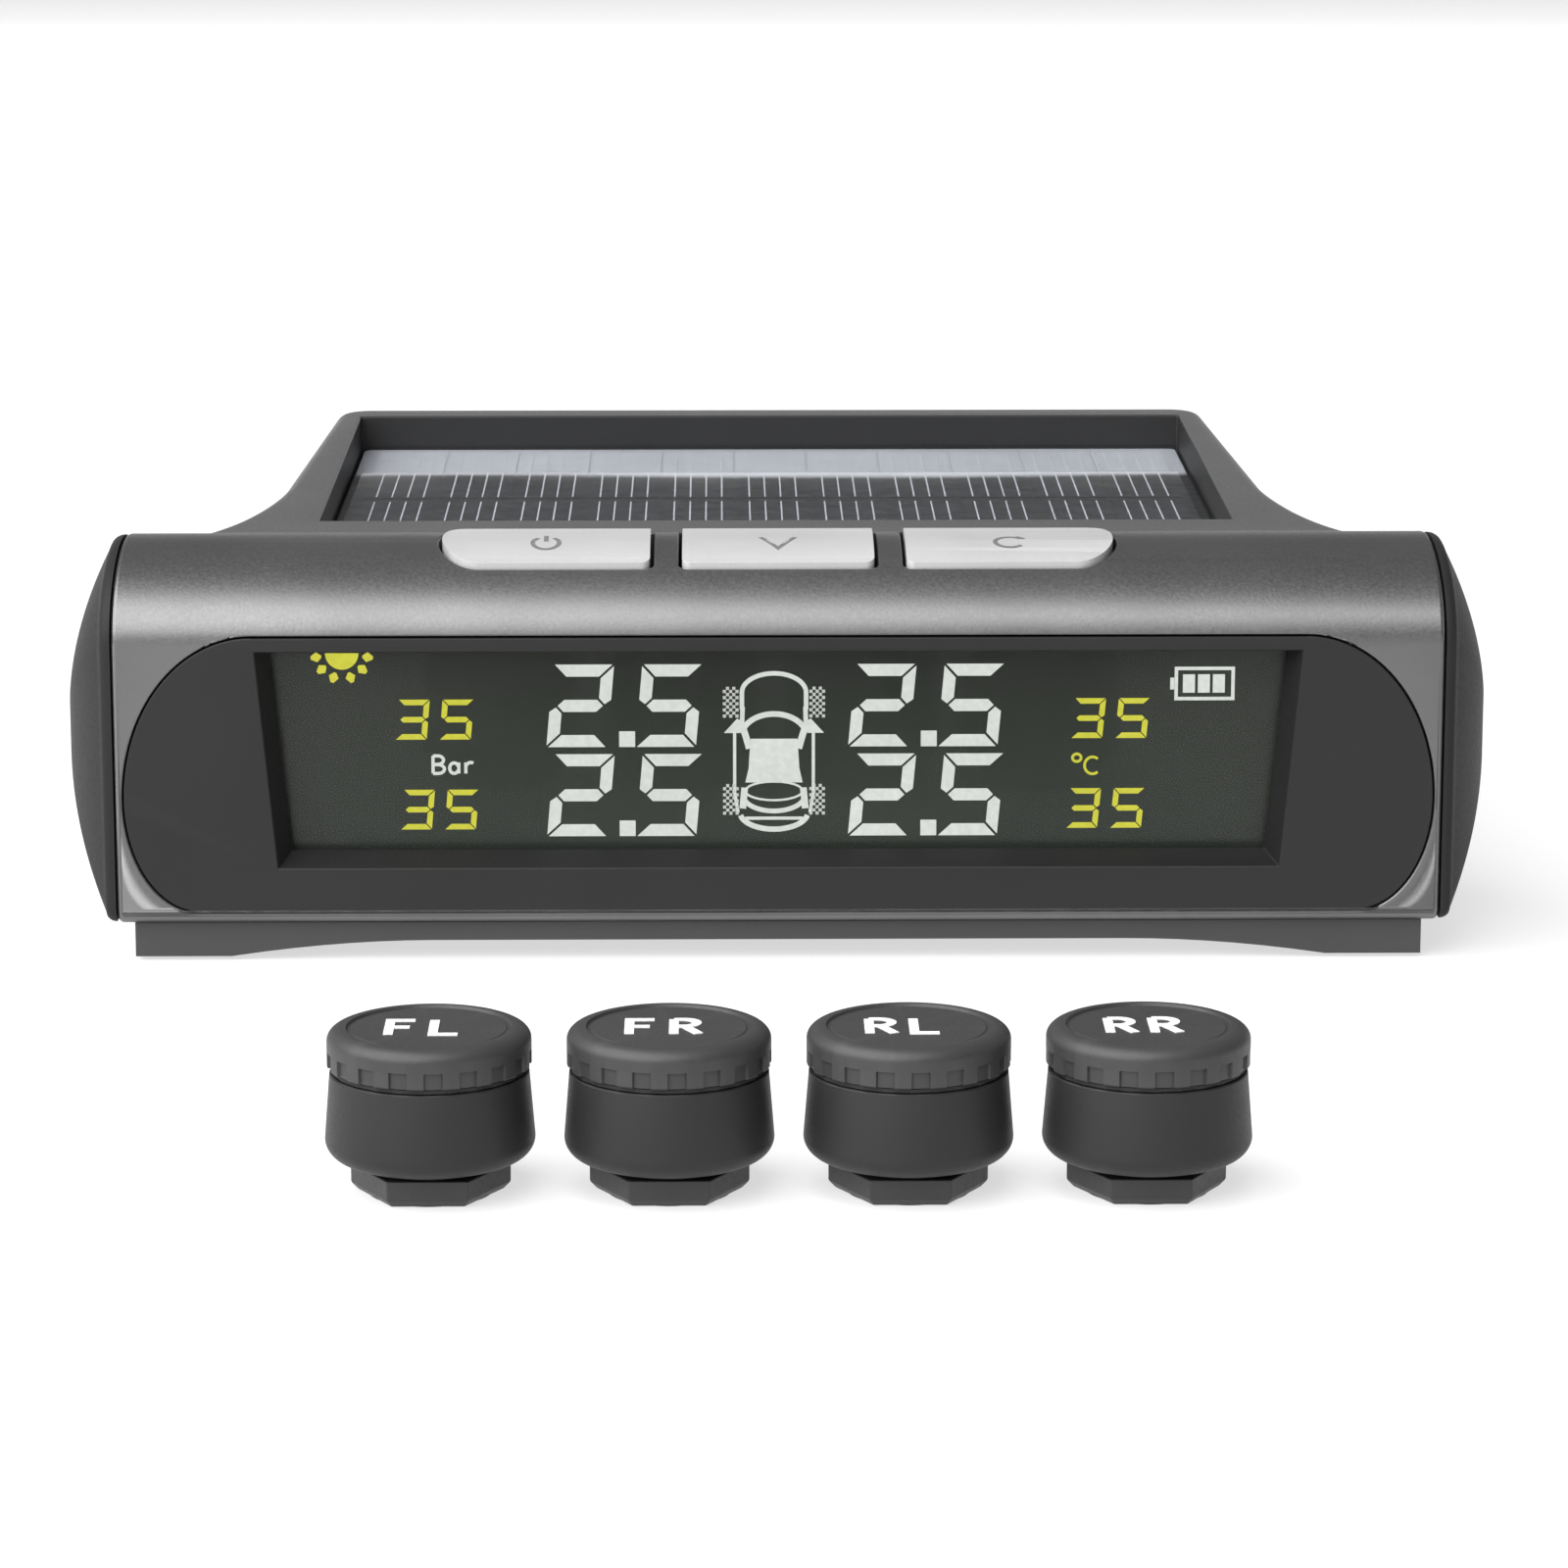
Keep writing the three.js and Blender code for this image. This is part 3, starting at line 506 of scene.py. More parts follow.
# ------------------------------------------------------------------ housing outlines
def bar_section(inset=0.0):
    """The bar's section in Y and Z, counter-clockwise from under the front edge."""
    t = inset
    front, rear = BAR_FRONT + t, BAR_REAR - t
    bottom, top = BAR_BOTTOM + t, BAR_TOP - t
    return [
        *arc(front + TOE, bottom + TOE, TOE, TOE, 180, 270, 6),
        *arc(rear + t - HEEL, bottom - t + HEEL, HEEL - t, HEEL - t, 270, 360, 16),
        *arc(CROWN_Y, BAR_TOP - REAR_RISE, REAR_REACH - t, top - BAR_TOP + REAR_RISE, 0, 90, 32),
        *arc(CROWN_Y, BAR_TOP - FRONT_RISE, CROWN_REACH - t, top - BAR_TOP + FRONT_RISE, 90, 180, 32)[1:],
    ]


def crown_height(y):
    """Height of the bar's skin over a place near its crown."""
    reach, rise = (CROWN_REACH, FRONT_RISE) if y < CROWN_Y else (REAR_REACH, REAR_RISE)
    return BAR_TOP - rise + rise * math.sqrt(1 - ((y - CROWN_Y) / reach) ** 2)


def bezier(a, b, c, d, steps):
    """Points along a cubic curve, without its first."""
    points = []
    for i in range(1, steps + 1):
        u = i / steps
        weights = ((1 - u) ** 3, 3 * u * (1 - u) ** 2, 3 * u**2 * (1 - u), u**3)
        points.append(tuple(sum(w * p[k] for w, p in zip(weights, (a, b, c, d))) for k in (0, 1)))
    return points


def deck_plan(inset=0.0):
    """The deck's plan in X and Y: near straight at the rear, flaring out to meet the bar."""
    t = inset
    rear_half, waist_half = DECK_REAR_HALF - t, DECK_WAIST_HALF - t
    radius = DECK_CORNER - t
    corner = arc(rear_half - DECK_CORNER + t, DECK_REAR - DECK_CORNER, radius, radius, 90, 0, 10)
    waist = (waist_half, DECK_WAIST_Y)
    pull = (waist_half + 0.6, DECK_WAIST_Y - 8)
    end = (DECK_END_HALF - t, CROWN_Y - t)
    flare = bezier(waist, pull, (waist_half + DECK_FLARE, CROWN_Y - t), end, 24)
    right = [*corner, waist, *flare, (DECK_END_HALF - t, CROWN_Y - 3)]
    return [(-x, y) for x, y in reversed(right)] + right


def bezel_outline(grow=0.0):
    """The display bezel's outline in X and Z, a flat-topped plate with elliptical ends."""
    half = BEZEL_HIGH.x
    bottom, top = BEZEL_LOW.z, BEZEL_HIGH.z
    low_rx, low_rz, high_rx = 5.6, 8.5, 9.6
    middle = bottom + low_rz
    right = [
        *arc(half - low_rx, middle, low_rx + grow, low_rz + grow, -90, 0, 24),
        *arc(half - high_rx, middle, high_rx + grow, top - middle + grow, 0, 90, 32)[1:],
    ]
    return right + [(-x, z) for x, z in reversed(right)]


KEY_END_REACH = 3.0  # how far the round end of an outer key runs along the bar
KEY_CORNER = 0.7
KEY_PROUD = 0.3
KEY_DEPTH = 2.9  # from the crown of the bar down to a key's flat underside
KEY_GAP = 0.28
SLOT_DEPTH = 4.2
STEM = 1.5  # radius of the post under a key
BUTTONS = {"power_button": "power_key", "menu_button": "menu_key", "set_button": "set_key"}


def button_plan(node, grow=0.0):
    """A key's plan: square where it faces another key, round at the far end of the row."""
    low, high = box_mm(node)
    x0, x1, y0, y1 = low.x - grow, high.x + grow, low.y - grow, high.y + grow
    radius, middle = (y1 - y0) / 2, (y0 + y1) / 2
    reach = KEY_END_REACH + grow

    def corner(x, y, start):
        return arc(x, y, KEY_CORNER, KEY_CORNER, start, start + 90, 5)

    if node == "power_button":
        left = arc(x0 + reach, middle, reach, radius, 90, 270, 28)
    else:
        left = corner(x0 + KEY_CORNER, y1 - KEY_CORNER, 90) + corner(x0 + KEY_CORNER, y0 + KEY_CORNER, 180)
    if node == "set_button":
        right = arc(x1 - reach, middle, reach, radius, -90, 90, 28)
    else:
        right = corner(x1 - KEY_CORNER, y0 + KEY_CORNER, -90) + corner(x1 - KEY_CORNER, y1 - KEY_CORNER, 0)
    return left + right


# ------------------------------------------------------------------ housing pieces
def housing_body():
    """The bar with the solar deck joined on behind it, still solid."""
    end_round = 0.25
    inner = BAR_HALF - end_round
    along = [(-BAR_HALF, end_round), (-inner, 0), (inner, 0), (BAR_HALF, end_round)]
    body = loft("housing_shell", [[(x, y, z) for y, z in bar_section(t)] for x, t in along])
    heights = [(BAR_BOTTOM, 0.0)]
    for step in range(9):
        angle = math.radians(90 * step / 8)
        heights.append((DECK_TOP - DECK_EDGE * (1 - math.sin(angle)), DECK_EDGE * (1 - math.cos(angle))))
    deck = loft("deck", [[(x, y, z) for x, y in deck_plan(t)] for z, t in heights])
    return carve(body, deck, "UNION")


def cut_openings(body):
    """The seats for the solar panel, bezel, display, keys and charging socket, and the hollow inside."""
    gap = TRAY_GAP
    tray_low = (GLASS_LOW.x - gap, GLASS_LOW.y - gap, GLASS_LOW.z - TRAY_DEPTH)
    carve(body, block("tray", tray_low, (GLASS_HIGH.x + gap, GLASS_HIGH.y + gap, DECK_TOP + 5)))
    carve(body, prism("bezel_seat", bezel_outline(0.12), "y", BAR_FRONT - 2, BAR_FRONT + 1.15))
    well_low = (LCD_LOW.x - 1.2, BAR_FRONT - 2, LCD_LOW.z - 0.2)
    carve(body, block("well", well_low, (LCD_HIGH.x + 1.2, BAR_FRONT + 9.6, BEZEL_HIGH.z - 0.6)))
    for node in BUTTONS:
        carve(body, prism("slot", button_plan(node, KEY_GAP), "z", BAR_TOP - SLOT_DEPTH, BAR_TOP + 2))
    low, high = box_mm("usb_socket")
    mouth = rounded_box_outline(low.x - 0.9, high.x + 0.9, low.z - 0.6, high.z + 0.6, 0.8)
    carve(body, prism("charge_mouth", mouth, "y", DECK_REAR - 6, DECK_REAR + 1))
    bar_half, deck_half = BAR_HALF - WALL, DECK_REAR_HALF - WALL - 1
    under = BAR_BOTTOM - 1
    hollows = (
        ((-bar_half, BAR_FRONT + 9, under), (bar_half, BAR_REAR - 9.5, 20.5)),
        ((-deck_half, BAR_REAR - 12, under), (deck_half, DECK_REAR - 4.4, 22.5)),
    )
    for low, high in hollows:
        carve(body, block("hollow", low, high))


def is_in_tray(place):
    """Whether a place in millimetres is on the floor or a wall of the solar panel's tray."""
    near = TRAY_GAP + 0.1
    across = abs(place.x) < GLASS_HIGH.x + near
    along = GLASS_LOW.y - near < place.y < GLASS_HIGH.y + near
    inside = GLASS_LOW.z - TRAY_DEPTH - 0.1 < place.z < DECK_TOP - 0.05
    return across and along and inside


def make_housing():
    """The upper housing, with its tray's floor and walls in the dark bezel plastic as painted shade."""
    body = housing_body()
    cut_openings(body)
    round_edges(body, 0.18, 3, 38, clamp=False)
    dress(body, "monitor", HOUSING, ["upper_housing"])
    # Painted shade: the tray's floor and walls take the dark bezel plastic.
    body.data.materials.append(BEZEL)
    for face in body.data.polygons:
        if is_in_tray(face.center / MM):
            face.material_index = 1


def rounded_box_outline(x0, x1, z0, z1, radius, steps=6):
    """A rectangle with round corners."""
    return [
        *arc(x1 - radius, z0 + radius, radius, radius, -90, 0, steps),
        *arc(x1 - radius, z1 - radius, radius, radius, 0, 90, steps),
        *arc(x0 + radius, z1 - radius, radius, radius, 90, 180, steps),
        *arc(x0 + radius, z0 + radius, radius, radius, 180, 270, steps),
    ]


def dome_profile():
    """How far the dome draws in and how far it stands out, from its rounded edge to its middle."""
    reach = CAP_HIGH.x - BAR_HALF
    gap, rim, middle = 0.08, 0.96, 0.02
    turns = [math.radians(90 * i / 6) for i in range(7)]
    profile = [(1 - (1 - rim) * (1 - math.cos(a)), gap + (DOME_EDGE - gap) * math.sin(a)) for a in turns]
    shares = [rim - (rim - middle) * i / 22 for i in range(1, 23)]
    profile += [(share, DOME_EDGE + (reach - DOME_EDGE) * (1 - (share / rim) ** 2)) for share in shares]
    return profile


def make_end_caps():
    """Two domed caps with the bar's own section."""
    section = bar_section(0.06)
    for side, name in ((-1, "end_cap_left"), (1, "end_cap_right")):
        rings = []
        for share, out in dome_profile():
            x = side * (BAR_HALF + out)
            drawn = [(DOME_Y + (y - DOME_Y) * share, DOME_Z + (z - DOME_Z) * share) for y, z in section]
            rings.append([(x, y, z) for y, z in drawn])
        cap = loft(name + "_dome", rings, smooth_angle=60)
        dress(cap, "monitor", END_PLASTIC, [name])


def make_bezel():
    """A flush plate with a window whose walls draw in towards the display."""
    plate = prism("bezel_plate", bezel_outline(0.0), "y", BAR_FRONT, BAR_FRONT + 1.0)
    collar_low = (BEZEL_LOW.x + 8.1, BAR_FRONT + 0.6, LENS_LOW.z + 0.5)
    collar_high = (BEZEL_HIGH.x - 8.1, LENS_LOW.y - 0.08, BEZEL_HIGH.z - 0.5)
    carve(plate, block("collar", collar_low, collar_high), "UNION")
    depth = BEZEL_HIGH.y - BEZEL_LOW.y
    rings = []
    for y, draw_in in ((BAR_FRONT - 1, -1 / depth), (BEZEL_HIGH.y + 1, 1 + 1 / depth)):
        top_half, bottom_half = WINDOW_TOP_HALF - draw_in, WINDOW_BOTTOM_HALF - draw_in
        top, bottom = WINDOW_TOP - 0.2 * draw_in, WINDOW_BOTTOM + draw_in
        corners = ((-top_half, top), (top_half, top), (bottom_half, bottom), (-bottom_half, bottom))
        rings.append([(x, y, z) for x, z in corners])
    carve(plate, loft("window", rings))
    round_edges(plate, 0.12, 3, 38)
    dress(plate, "monitor", BEZEL, ["display_bezel"])
    plate.data.materials.append(BLACK)
    for face in plate.data.polygons:
        middle = face.center / MM
        is_wall = abs(face.normal.y) < 0.9 and middle.y > BAR_FRONT + 0.3
        if is_wall and abs(middle.x) < WINDOW_TOP_HALF + 0.2:
            face.material_index = 1


def make_buttons():
    """Keys that follow the crown of the bar, each with a post down to its switch."""
    plunger_low, plunger_high = box_mm("switch_plunger_1")
    key_bottom = BAR_TOP - KEY_DEPTH
    steps = 24
    for node, body in BUTTONS.items():
        low, high = box_mm(node)
        key = prism(node + "_key", button_plan(node), "z", key_bottom, BAR_TOP + 4)
        front, rear = low.y - 1, high.y + 1
        skin_y = [front + (high.y - low.y + 2) * i / steps for i in range(steps + 1)]
        skin = [(y, crown_height(y) + KEY_PROUD) for y in skin_y]
        section = [(front, key_bottom - 1), (rear, key_bottom - 1), *reversed(skin)]
        carve(key, prism("skin", section, "x", low.x - 2, high.x + 2), "INTERSECT")
        foot = (low.x + high.x) / 2, (plunger_low.y + plunger_high.y) / 2
        carve(key, turned("stem", [(STEM, low.z), (STEM, key_bottom + 0.5)], foot, 32), "UNION")
        round_edges(key, 0.35, 4, 40)
        dress(key, body, SILVER, [node])


# ------------------------------------------------------------------ flat figures for the display
def thin_plates(name, outlines, axis, start, end, lift=0.0):
    """Thin plates as one piece, one for each outline, pushed along an axis from start to end.

    Each plate ends a lift beyond the last, so that strokes that cross don't share a plane.
    """
    points, faces = [], []
    for layer, outline in enumerate(outlines):
        doubled = sum(a[0] * b[1] - b[0] * a[1] for a, b in zip(outline, outline[1:] + outline[:1]))
        ordered = outline if doubled > 0 else outline[::-1]
        if axis == "y":
            ordered = ordered[::-1]
        first, count = len(points), len(ordered)
        for along in (start, end + layer * lift):
            for pair in ordered:
                values = list(pair)
                values.insert("xyz".index(axis), along)
                points.append(values)
        faces.append([first + i for i in reversed(range(count))])
        faces.append([first + count + i for i in range(count)])
        for i in range(count):
            j = (i + 1) % count
            faces.append([first + i, first + j, first + count + j, first + count + i])
    return make_object(name, points, faces, smooth_angle=1, merge=False)


def stroke(path, width, closed=False):
    """Outlines that follow a path at a constant width, with mitred corners."""
    count = len(path)
    left, right = [], []
    for i, (x, z) in enumerate(path):
        before = path[i - 1] if i or closed else path[i]
        after = path[(i + 1) % count] if i + 1 < count or closed else path[i]
        first = Vector((x - before[0], z - before[1]))
        second = Vector((after[0] - x, after[1] - z))
        along = (first.normalized() if first.length else second.normalized()) + (
            second.normalized() if second.length else first.normalized())
        along.normalize()
        across = Vector((-along.y, along.x))
        turn = across.dot(Vector((-first.y, first.x)).normalized()) if first.length else 1.0
        reach = width / 2 / max(turn, 0.35)
        left.append((x + across.x * reach, z + across.y * reach))
        right.append((x - across.x * reach, z - across.y * reach))
    if not closed:
        return [left + right[::-1]]
    return [[left[i], left[(i + 1) % count], right[(i + 1) % count], right[i]] for i in range(count)]


FIGURE_DEPTH = 0.03

# Which of the seven segments, a to g, are lit for each figure.
SEGMENTS = {"2": "abged", "3": "abgcd", "5": "afgcd"}


def seven_segment(figure, x, z, width, height, thick, slant=0.09):
    """Mitred segments of one figure, with its lower left corner at (x, z)."""
    gap = thick * 0.14
    half = height / 2

    def level(base, inner):
        """A bar lying at a height, its short side towards the inside."""
        step = thick if inner > 0 else -thick
        inside = base + step
        return [(gap, base), (width - gap, base), (width - gap - thick, inside), (gap + thick, inside)]

    def middle():
        """The six-cornered bar across the middle."""
        t = thick / 2
        return [(gap + t, half), (gap + 2 * t, half + t), (width - gap - 2 * t, half + t),
                (width - gap - t, half), (width - gap - 2 * t, half - t), (gap + 2 * t, half - t)]

    def upright(edge, base, top, outward):
        """A side bar with a long slanted end outside and a point where it meets the middle bar."""
        inner, t = edge - thick * outward, thick / 2
        point = edge - t * outward
        if base == 0:
            outer_side = [(edge, gap), (edge, top - t), (point, top - gap)]
            return [*outer_side, (inner, top - t - gap), (inner, thick + gap)]
        outer_side = [(edge, top - gap), (edge, base + t), (point, base + gap)]
        return [*outer_side, (inner, base + t + gap), (inner, top - thick - gap)]

    shapes = {
        "a": level(height, -1), "d": level(0, 1), "g": middle(),
        "b": upright(width, half, height, 1), "c": upright(width, 0, half, 1),
        "f": upright(0, half, height, -1), "e": upright(0, 0, half, -1),
    }
    return [[(x + px + slant * pz, z + pz) for px, pz in shapes[s]] for s in SEGMENTS[figure]]


def reading(text, x, z, width, height, thick, spacing):
    """Seven-segment figures in a row, with square points between them."""
    outlines = []
    for sign in text:
        if sign == ".":
            side = thick * 1.3
            outlines.append(rectangle(x - side, x, z, z + side))
        else:
            outlines += seven_segment(sign, x, z, width, height, thick)
            x += spacing
    return outlines


def disc(cx, cz, rx, rz, steps=24):
    """A full ellipse, without the doubled last point."""
    return arc(cx, cz, rx, rz, 0, 360, steps)[:-1]


def car_outlines(cx, cz):
    """A car seen from above, nose up: body lines, mirrors, windows and a solid roof."""
    outlines = []

    def add_line(path, width):
        outlines.extend(stroke([(cx + x, cz + z) for x, z in path], width))

    def add_both_sides(path, width):
        add_line(path, width)
        add_line([(-x, z) for x, z in path], width)

    add_line([(-2.4, 3.0), *arc(0, 4.3, 2.4, 1.45, 180, 0, 20), (2.4, 3.0)], 0.34)
    add_line(arc(0, 0.9, 2.45, 1.75, 160, 20, 16), 0.42)
    add_both_sides([(2.35, 3.2), (2.4, 1.6)], 0.34)
    add_both_sides([(2.35, 1.7), (2.1, 0.9), (1.85, 0.0)], 0.5)
    add_both_sides([(2.95, 1.3), (2.95, -3.4), (2.7, -4.9)], 0.24)
    add_both_sides([(2.2, -3.0), (2.35, -4.6)], 0.5)
    add_line(arc(0, -3.6, 2.3, 1.2, 200, 340, 16), 0.36)
    add_line(arc(0, -4.9, 2.55, 1.3, 190, 350, 18), 0.4)
    add_line([(-2.15, -5.35), (2.15, -5.35)], 0.24)
    outlines.extend(stroke([(cx + x, cz + z) for x, z in disc(0, -3.25, 2.15, 0.72)], 0.16, closed=True))
    mirror = ((2.3, 2.0), (2.75, 2.3), (3.75, 1.2), (2.5, 1.2))
    for side in (-1, 1):
        outlines.append([(cx + side * x, cz + z) for x, z in mirror])
    roof = [(1.75, 0.75), (1.85, -0.6), (1.9, -1.5), (2.15, -2.6)]
    outlines.append([(cx + x, cz + z) for x, z in roof] + [(cx - x, cz + z) for x, z in reversed(roof)])
    return outlines


def tyre_outlines(cx, cz):
    """Chequered tyre marks beside the car's four wheels."""
    outlines = []
    cell, rows, columns = 0.235, 10, 5
    for tyre_z in (3.55, -3.9):
        for side in (-1, 1):
            for row in range(rows):
                for column in range(columns):
                    if (row + column) % 2 == 0:
                        x = cx + side * (2.65 + cell * (column + 0.5)) - cell / 2
                        z = cz + tyre_z + cell * (row - rows / 2)
                        outlines.append(rectangle(x, x + cell, z, z + cell))
    return outlines


def battery_outlines(x0, z0):
    """A battery with its terminal at the left and three charge bars."""
    width, height, bar = 4.7, 2.3, 0.9
    outlines = stroke(rectangle(x0 + 0.45, x0 + width, z0, z0 + height), 0.26, closed=True)
    outlines.append(rectangle(x0, x0 + 0.3, z0 + 0.7, z0 + 1.6))
    for i in range(3):
        left = x0 + 0.95 + i * (bar + 0.22)
        outlines.append(rectangle(left, left + bar, z0 + 0.45, z0 + 1.85))
    return outlines


def sun_outlines(cx, cz):
    """The lower half of a sun with drop-shaped rays."""
    outlines = [arc(cx, cz, 1.25, 1.25, 180, 360, 20)]
    # A ray's half-widths at three distances from the sun's middle.
    side = [(1.55, 0.08), (1.9, 0.38), (2.35, 0.12)]
    ray = side + [(away, -across) for away, across in reversed(side)]
    for angle in (-171, -141, -109, -71, -39, -9):
        dx, dz = math.cos(math.radians(angle)), math.sin(math.radians(angle))
        turned_ray = [(away * dx - across * dz, away * dz + across * dx) for away, across in ray]
        outlines.append([(cx + x, cz + z) for x, z in turned_ray])
    return outlines


def fine_path(path, pieces=8):
    """The same path with more points, so that it can follow a curved face."""
    fine = [path[0]]
    for (x0, y0), (x1, y1) in zip(path, path[1:]):
        for k in range(1, pieces + 1):
            fine.append((x0 + (x1 - x0) * k / pieces, y0 + (y1 - y0) * k / pieces))
    return fine


def make_button_marks():
    """Faint printed marks on the keys: a power sign, a chevron and a loop."""
    middle_y = (box_mm("menu_button")[0].y + CROWN_Y) / 2
    marks = {
        "power_button": [arc(0, 0, 1.0, 1.3, 125, 415, 20), [(0, 0.3), (0, 1.7)]],
        "menu_button": [[(-1.3, 1.2), (0, -1.2), (1.3, 1.2)]],
        "set_button": [arc(0, 0, 1.1, 1.1, 40, 320, 18), [(0.5, 1.2), (1.1, 0.7)]],
    }
    for node, paths in marks.items():
        low, high = box_mm(node)
        middle_x = (low.x + high.x) / 2
        outlines = []
        for path in paths:
            outlines += stroke([(middle_x + x, middle_y + y) for x, y in fine_path(path)], 0.34)
        mark = thin_plates(node + "_mark", outlines, "z", 0.0, 0.02)
        for vertex in mark.data.vertices:
            vertex.co.z += (crown_height(vertex.co.y / MM) + KEY_PROUD) * MM
        dress(mark, BUTTONS[node], ICON)


def letter_strokes(letter):
    """Plain strokes for a letter in a cell one high and 0.8 wide."""
    bowl = arc(0.3, 0.76, 0.33, 0.24, 90, -90, 10)
    low_bowl = arc(0.3, 0.25, 0.38, 0.25, 90, -90, 10)
    return {
        "B": [[(0, 0), (0, 1)], [(0, 1), *bowl, (0, 0.51)], [(0, 0.5), *low_bowl, (0, 0)]],
        "a": [arc(0.28, 0.3, 0.27, 0.3, 20, 340, 14), [(0.56, 0.62), (0.56, 0)]],
        "r": [[(0, 0), (0, 0.62)], arc(0.3, 0.32, 0.3, 0.3, 180, 60, 8)],
        "C": [arc(0.42, 0.42, 0.4, 0.42, 50, 310, 18)],
        "o": [arc(0.18, 0.8, 0.22, 0.19, 0, 360, 14)],
        "F": [[(0, 0), (0, 1), (0.68, 1)], [(0, 0.52), (0.56, 0.52)]],
        "L": [[(0, 1), (0, 0), (0.68, 0)]],
        "R": [[(0, 0), (0, 1)], [(0, 1), *bowl, (0, 0.52)], [(0.3, 0.52), (0.68, 0)]],
    }[letter]


def word(text, x, z, width, height, thick, advance=1.0):
    """Letters of plain strokes, side by side."""
    outlines = []
    for letter in text:
        for path in letter_strokes(letter):
            outlines += stroke([(x + px * width, z + pz * height) for px, pz in path], thick)
        x += width * advance
    return outlines


def make_display():
    """The lit figures lie just in front of the liquid crystal, behind the window."""
    y = LCD_LOW.y - 0.05
    car = (-0.35, 15.75)
    white, yellow = [], []
    for x in (-17.4, 5.2):
        for z in (15.9, 9.05):
            white += reading("2.5", x, z, 4.55, 6.3, 0.92, 6.65)
    for x, z in ((-28.7, 16.5), (-28.4, 9.6), (21.9, 16.5), (21.6, 9.6)):
        yellow += reading("35", x, z, 2.35, 3.05, 0.42, 3.3)
    white += word("Bar", -25.9, 13.9, 1.25, 1.35, 0.24, 0.98)
    yellow += word("oC", 22.1, 13.75, 1.5, 1.55, 0.2, 0.55)
    white += car_outlines(*car)
    white += battery_outlines(29.3, 19.5)
    yellow += sun_outlines(-32.6, 23.1)
    groups = (
        ("white_figures", white, WHITE_GLOW),
        ("yellow_figures", yellow, YELLOW_GLOW),
        ("tyre_marks", tyre_outlines(*car), DIM_GLOW),
    )
    for name, outlines, glow in groups:
        figures = thin_plates(name, outlines, "y", y, y + FIGURE_DEPTH)
        dress(figures, "monitor", glow)


# ------------------------------------------------------------------ solar panel
CELL_COLUMNS = 11
FINGERS = 4
FINGER_HALF = 0.06

# Seen through the cover, the cells look as if they lay just under its face.
CELL_FACE = GLASS_HIGH.z - 0.3


def cell_outlines():
    """Outlines of the cells' strips, and of the fingers on them, in two rows."""
    low, high = CELLS_LOW, CELLS_HIGH
    width = (high.x - low.x) / CELL_COLUMNS
    middle = low.y + (high.y - low.y) * 0.5
    strips, fingers = [], []
    for column in range(CELL_COLUMNS):
        left = low.x + column * width
        for front, rear in ((low.y + 0.4, middle - 0.7), (middle + 0.7, high.y - 0.4)):
            strips.append(rectangle(left + 0.12, left + width - 0.12, front, rear))
            for i in range(FINGERS):
                centre = left + width * (i + 0.5 + 0.16 * (1.5 - i)) / FINGERS
                fingers.append(rectangle(centre - FINGER_HALF, centre + FINGER_HALF, front + 0.5, rear - 0.5))
    return strips, fingers


def make_cells():
    """A dark backing, the silicon strips on it and their silver fingers."""
    outline = rounded_box_outline(GLASS_LOW.x, GLASS_HIGH.x, GLASS_LOW.y, GLASS_HIGH.y, 0.8)
    backing = prism("cell_backing", outline, "z", CELLS_LOW.z, CELL_FACE - 0.08)
    round_edges(backing, 0.05, 2)
    dress(backing, "monitor", BACKING, ["solar_cells"])
    strip_outlines, finger_outlines = cell_outlines()
    strips = thin_plates("cell_strips", strip_outlines, "z", CELL_FACE - 0.07, CELL_FACE - 0.03)
    dress(strips, "monitor", SILICON)
    lines = thin_plates("cell_fingers", finger_outlines, "z", CELL_FACE - 0.025, CELL_FACE - 0.005)
    dress(lines, "monitor", FINGER)


def make_solar_cover():
    """The clear cover, reduced to the layer over the cells."""
    outline = rounded_box_outline(GLASS_LOW.x, GLASS_HIGH.x, GLASS_LOW.y, GLASS_HIGH.y, 0.8)
    cover = prism("solar_cover", outline, "z", CELL_FACE + 0.05, GLASS_HIGH.z)
    round_edges(cover, 0.08, 2)
    dress(cover, "monitor", COVER, ["solar_glass"])


# ------------------------------------------------------------------ sensors
SENSORS = {"front_left": "FL", "front_right": "FR", "rear_left": "RL", "rear_right": "RR"}
TEETH = 18
TOOTH_STEPS = 12
TOOTH_HEIGHT = 1.05
CAP_SKIRT = 0.55  # thickness of the cap's side wall
CAP_CORNER = (1.05, 0.85)  # reach and rise of the round over the teeth
FACE_DROP = 0.12  # the lettered face lies below the cap's rim
BODY_CORNER = (1.5, 1.35)
COLLAR_RADIUS = 5.75
COLLAR_HEIGHT = 1.3
COLLAR_BORE = 5.2
FOOT_BORE = 4.45
SHANK_RADIUS = 4.25
THREAD_RADIUS = 3.85
THREAD_DEPTH = 0.28
THREAD_STEP = 0.4  # half of the ridges' spacing


def tooth_share(step):
    """Angles within a tooth: its two flanks are steep, and the rest is evenly spread."""
    half = TOOTH_STEPS // 2
    flank = 0.012
    side, place = divmod(step, half)
    return side * 0.5 + flank + (0.5 - 2 * flank) * place / (half - 1)


def toothed_ring(centre, radius, depth, z):
    """A ring of points that dips in between the teeth."""
    ring = []
    for i in range(TEETH * TOOTH_STEPS):
        inside = (i % TOOTH_STEPS) / TOOTH_STEPS >= 0.5
        r = radius - (depth if inside else 0)
        a = TAU * (i // TOOTH_STEPS + tooth_share(i % TOOTH_STEPS)) / TEETH
        ring.append((centre.x + r * math.cos(a), centre.y + r * math.sin(a), z))
    return ring


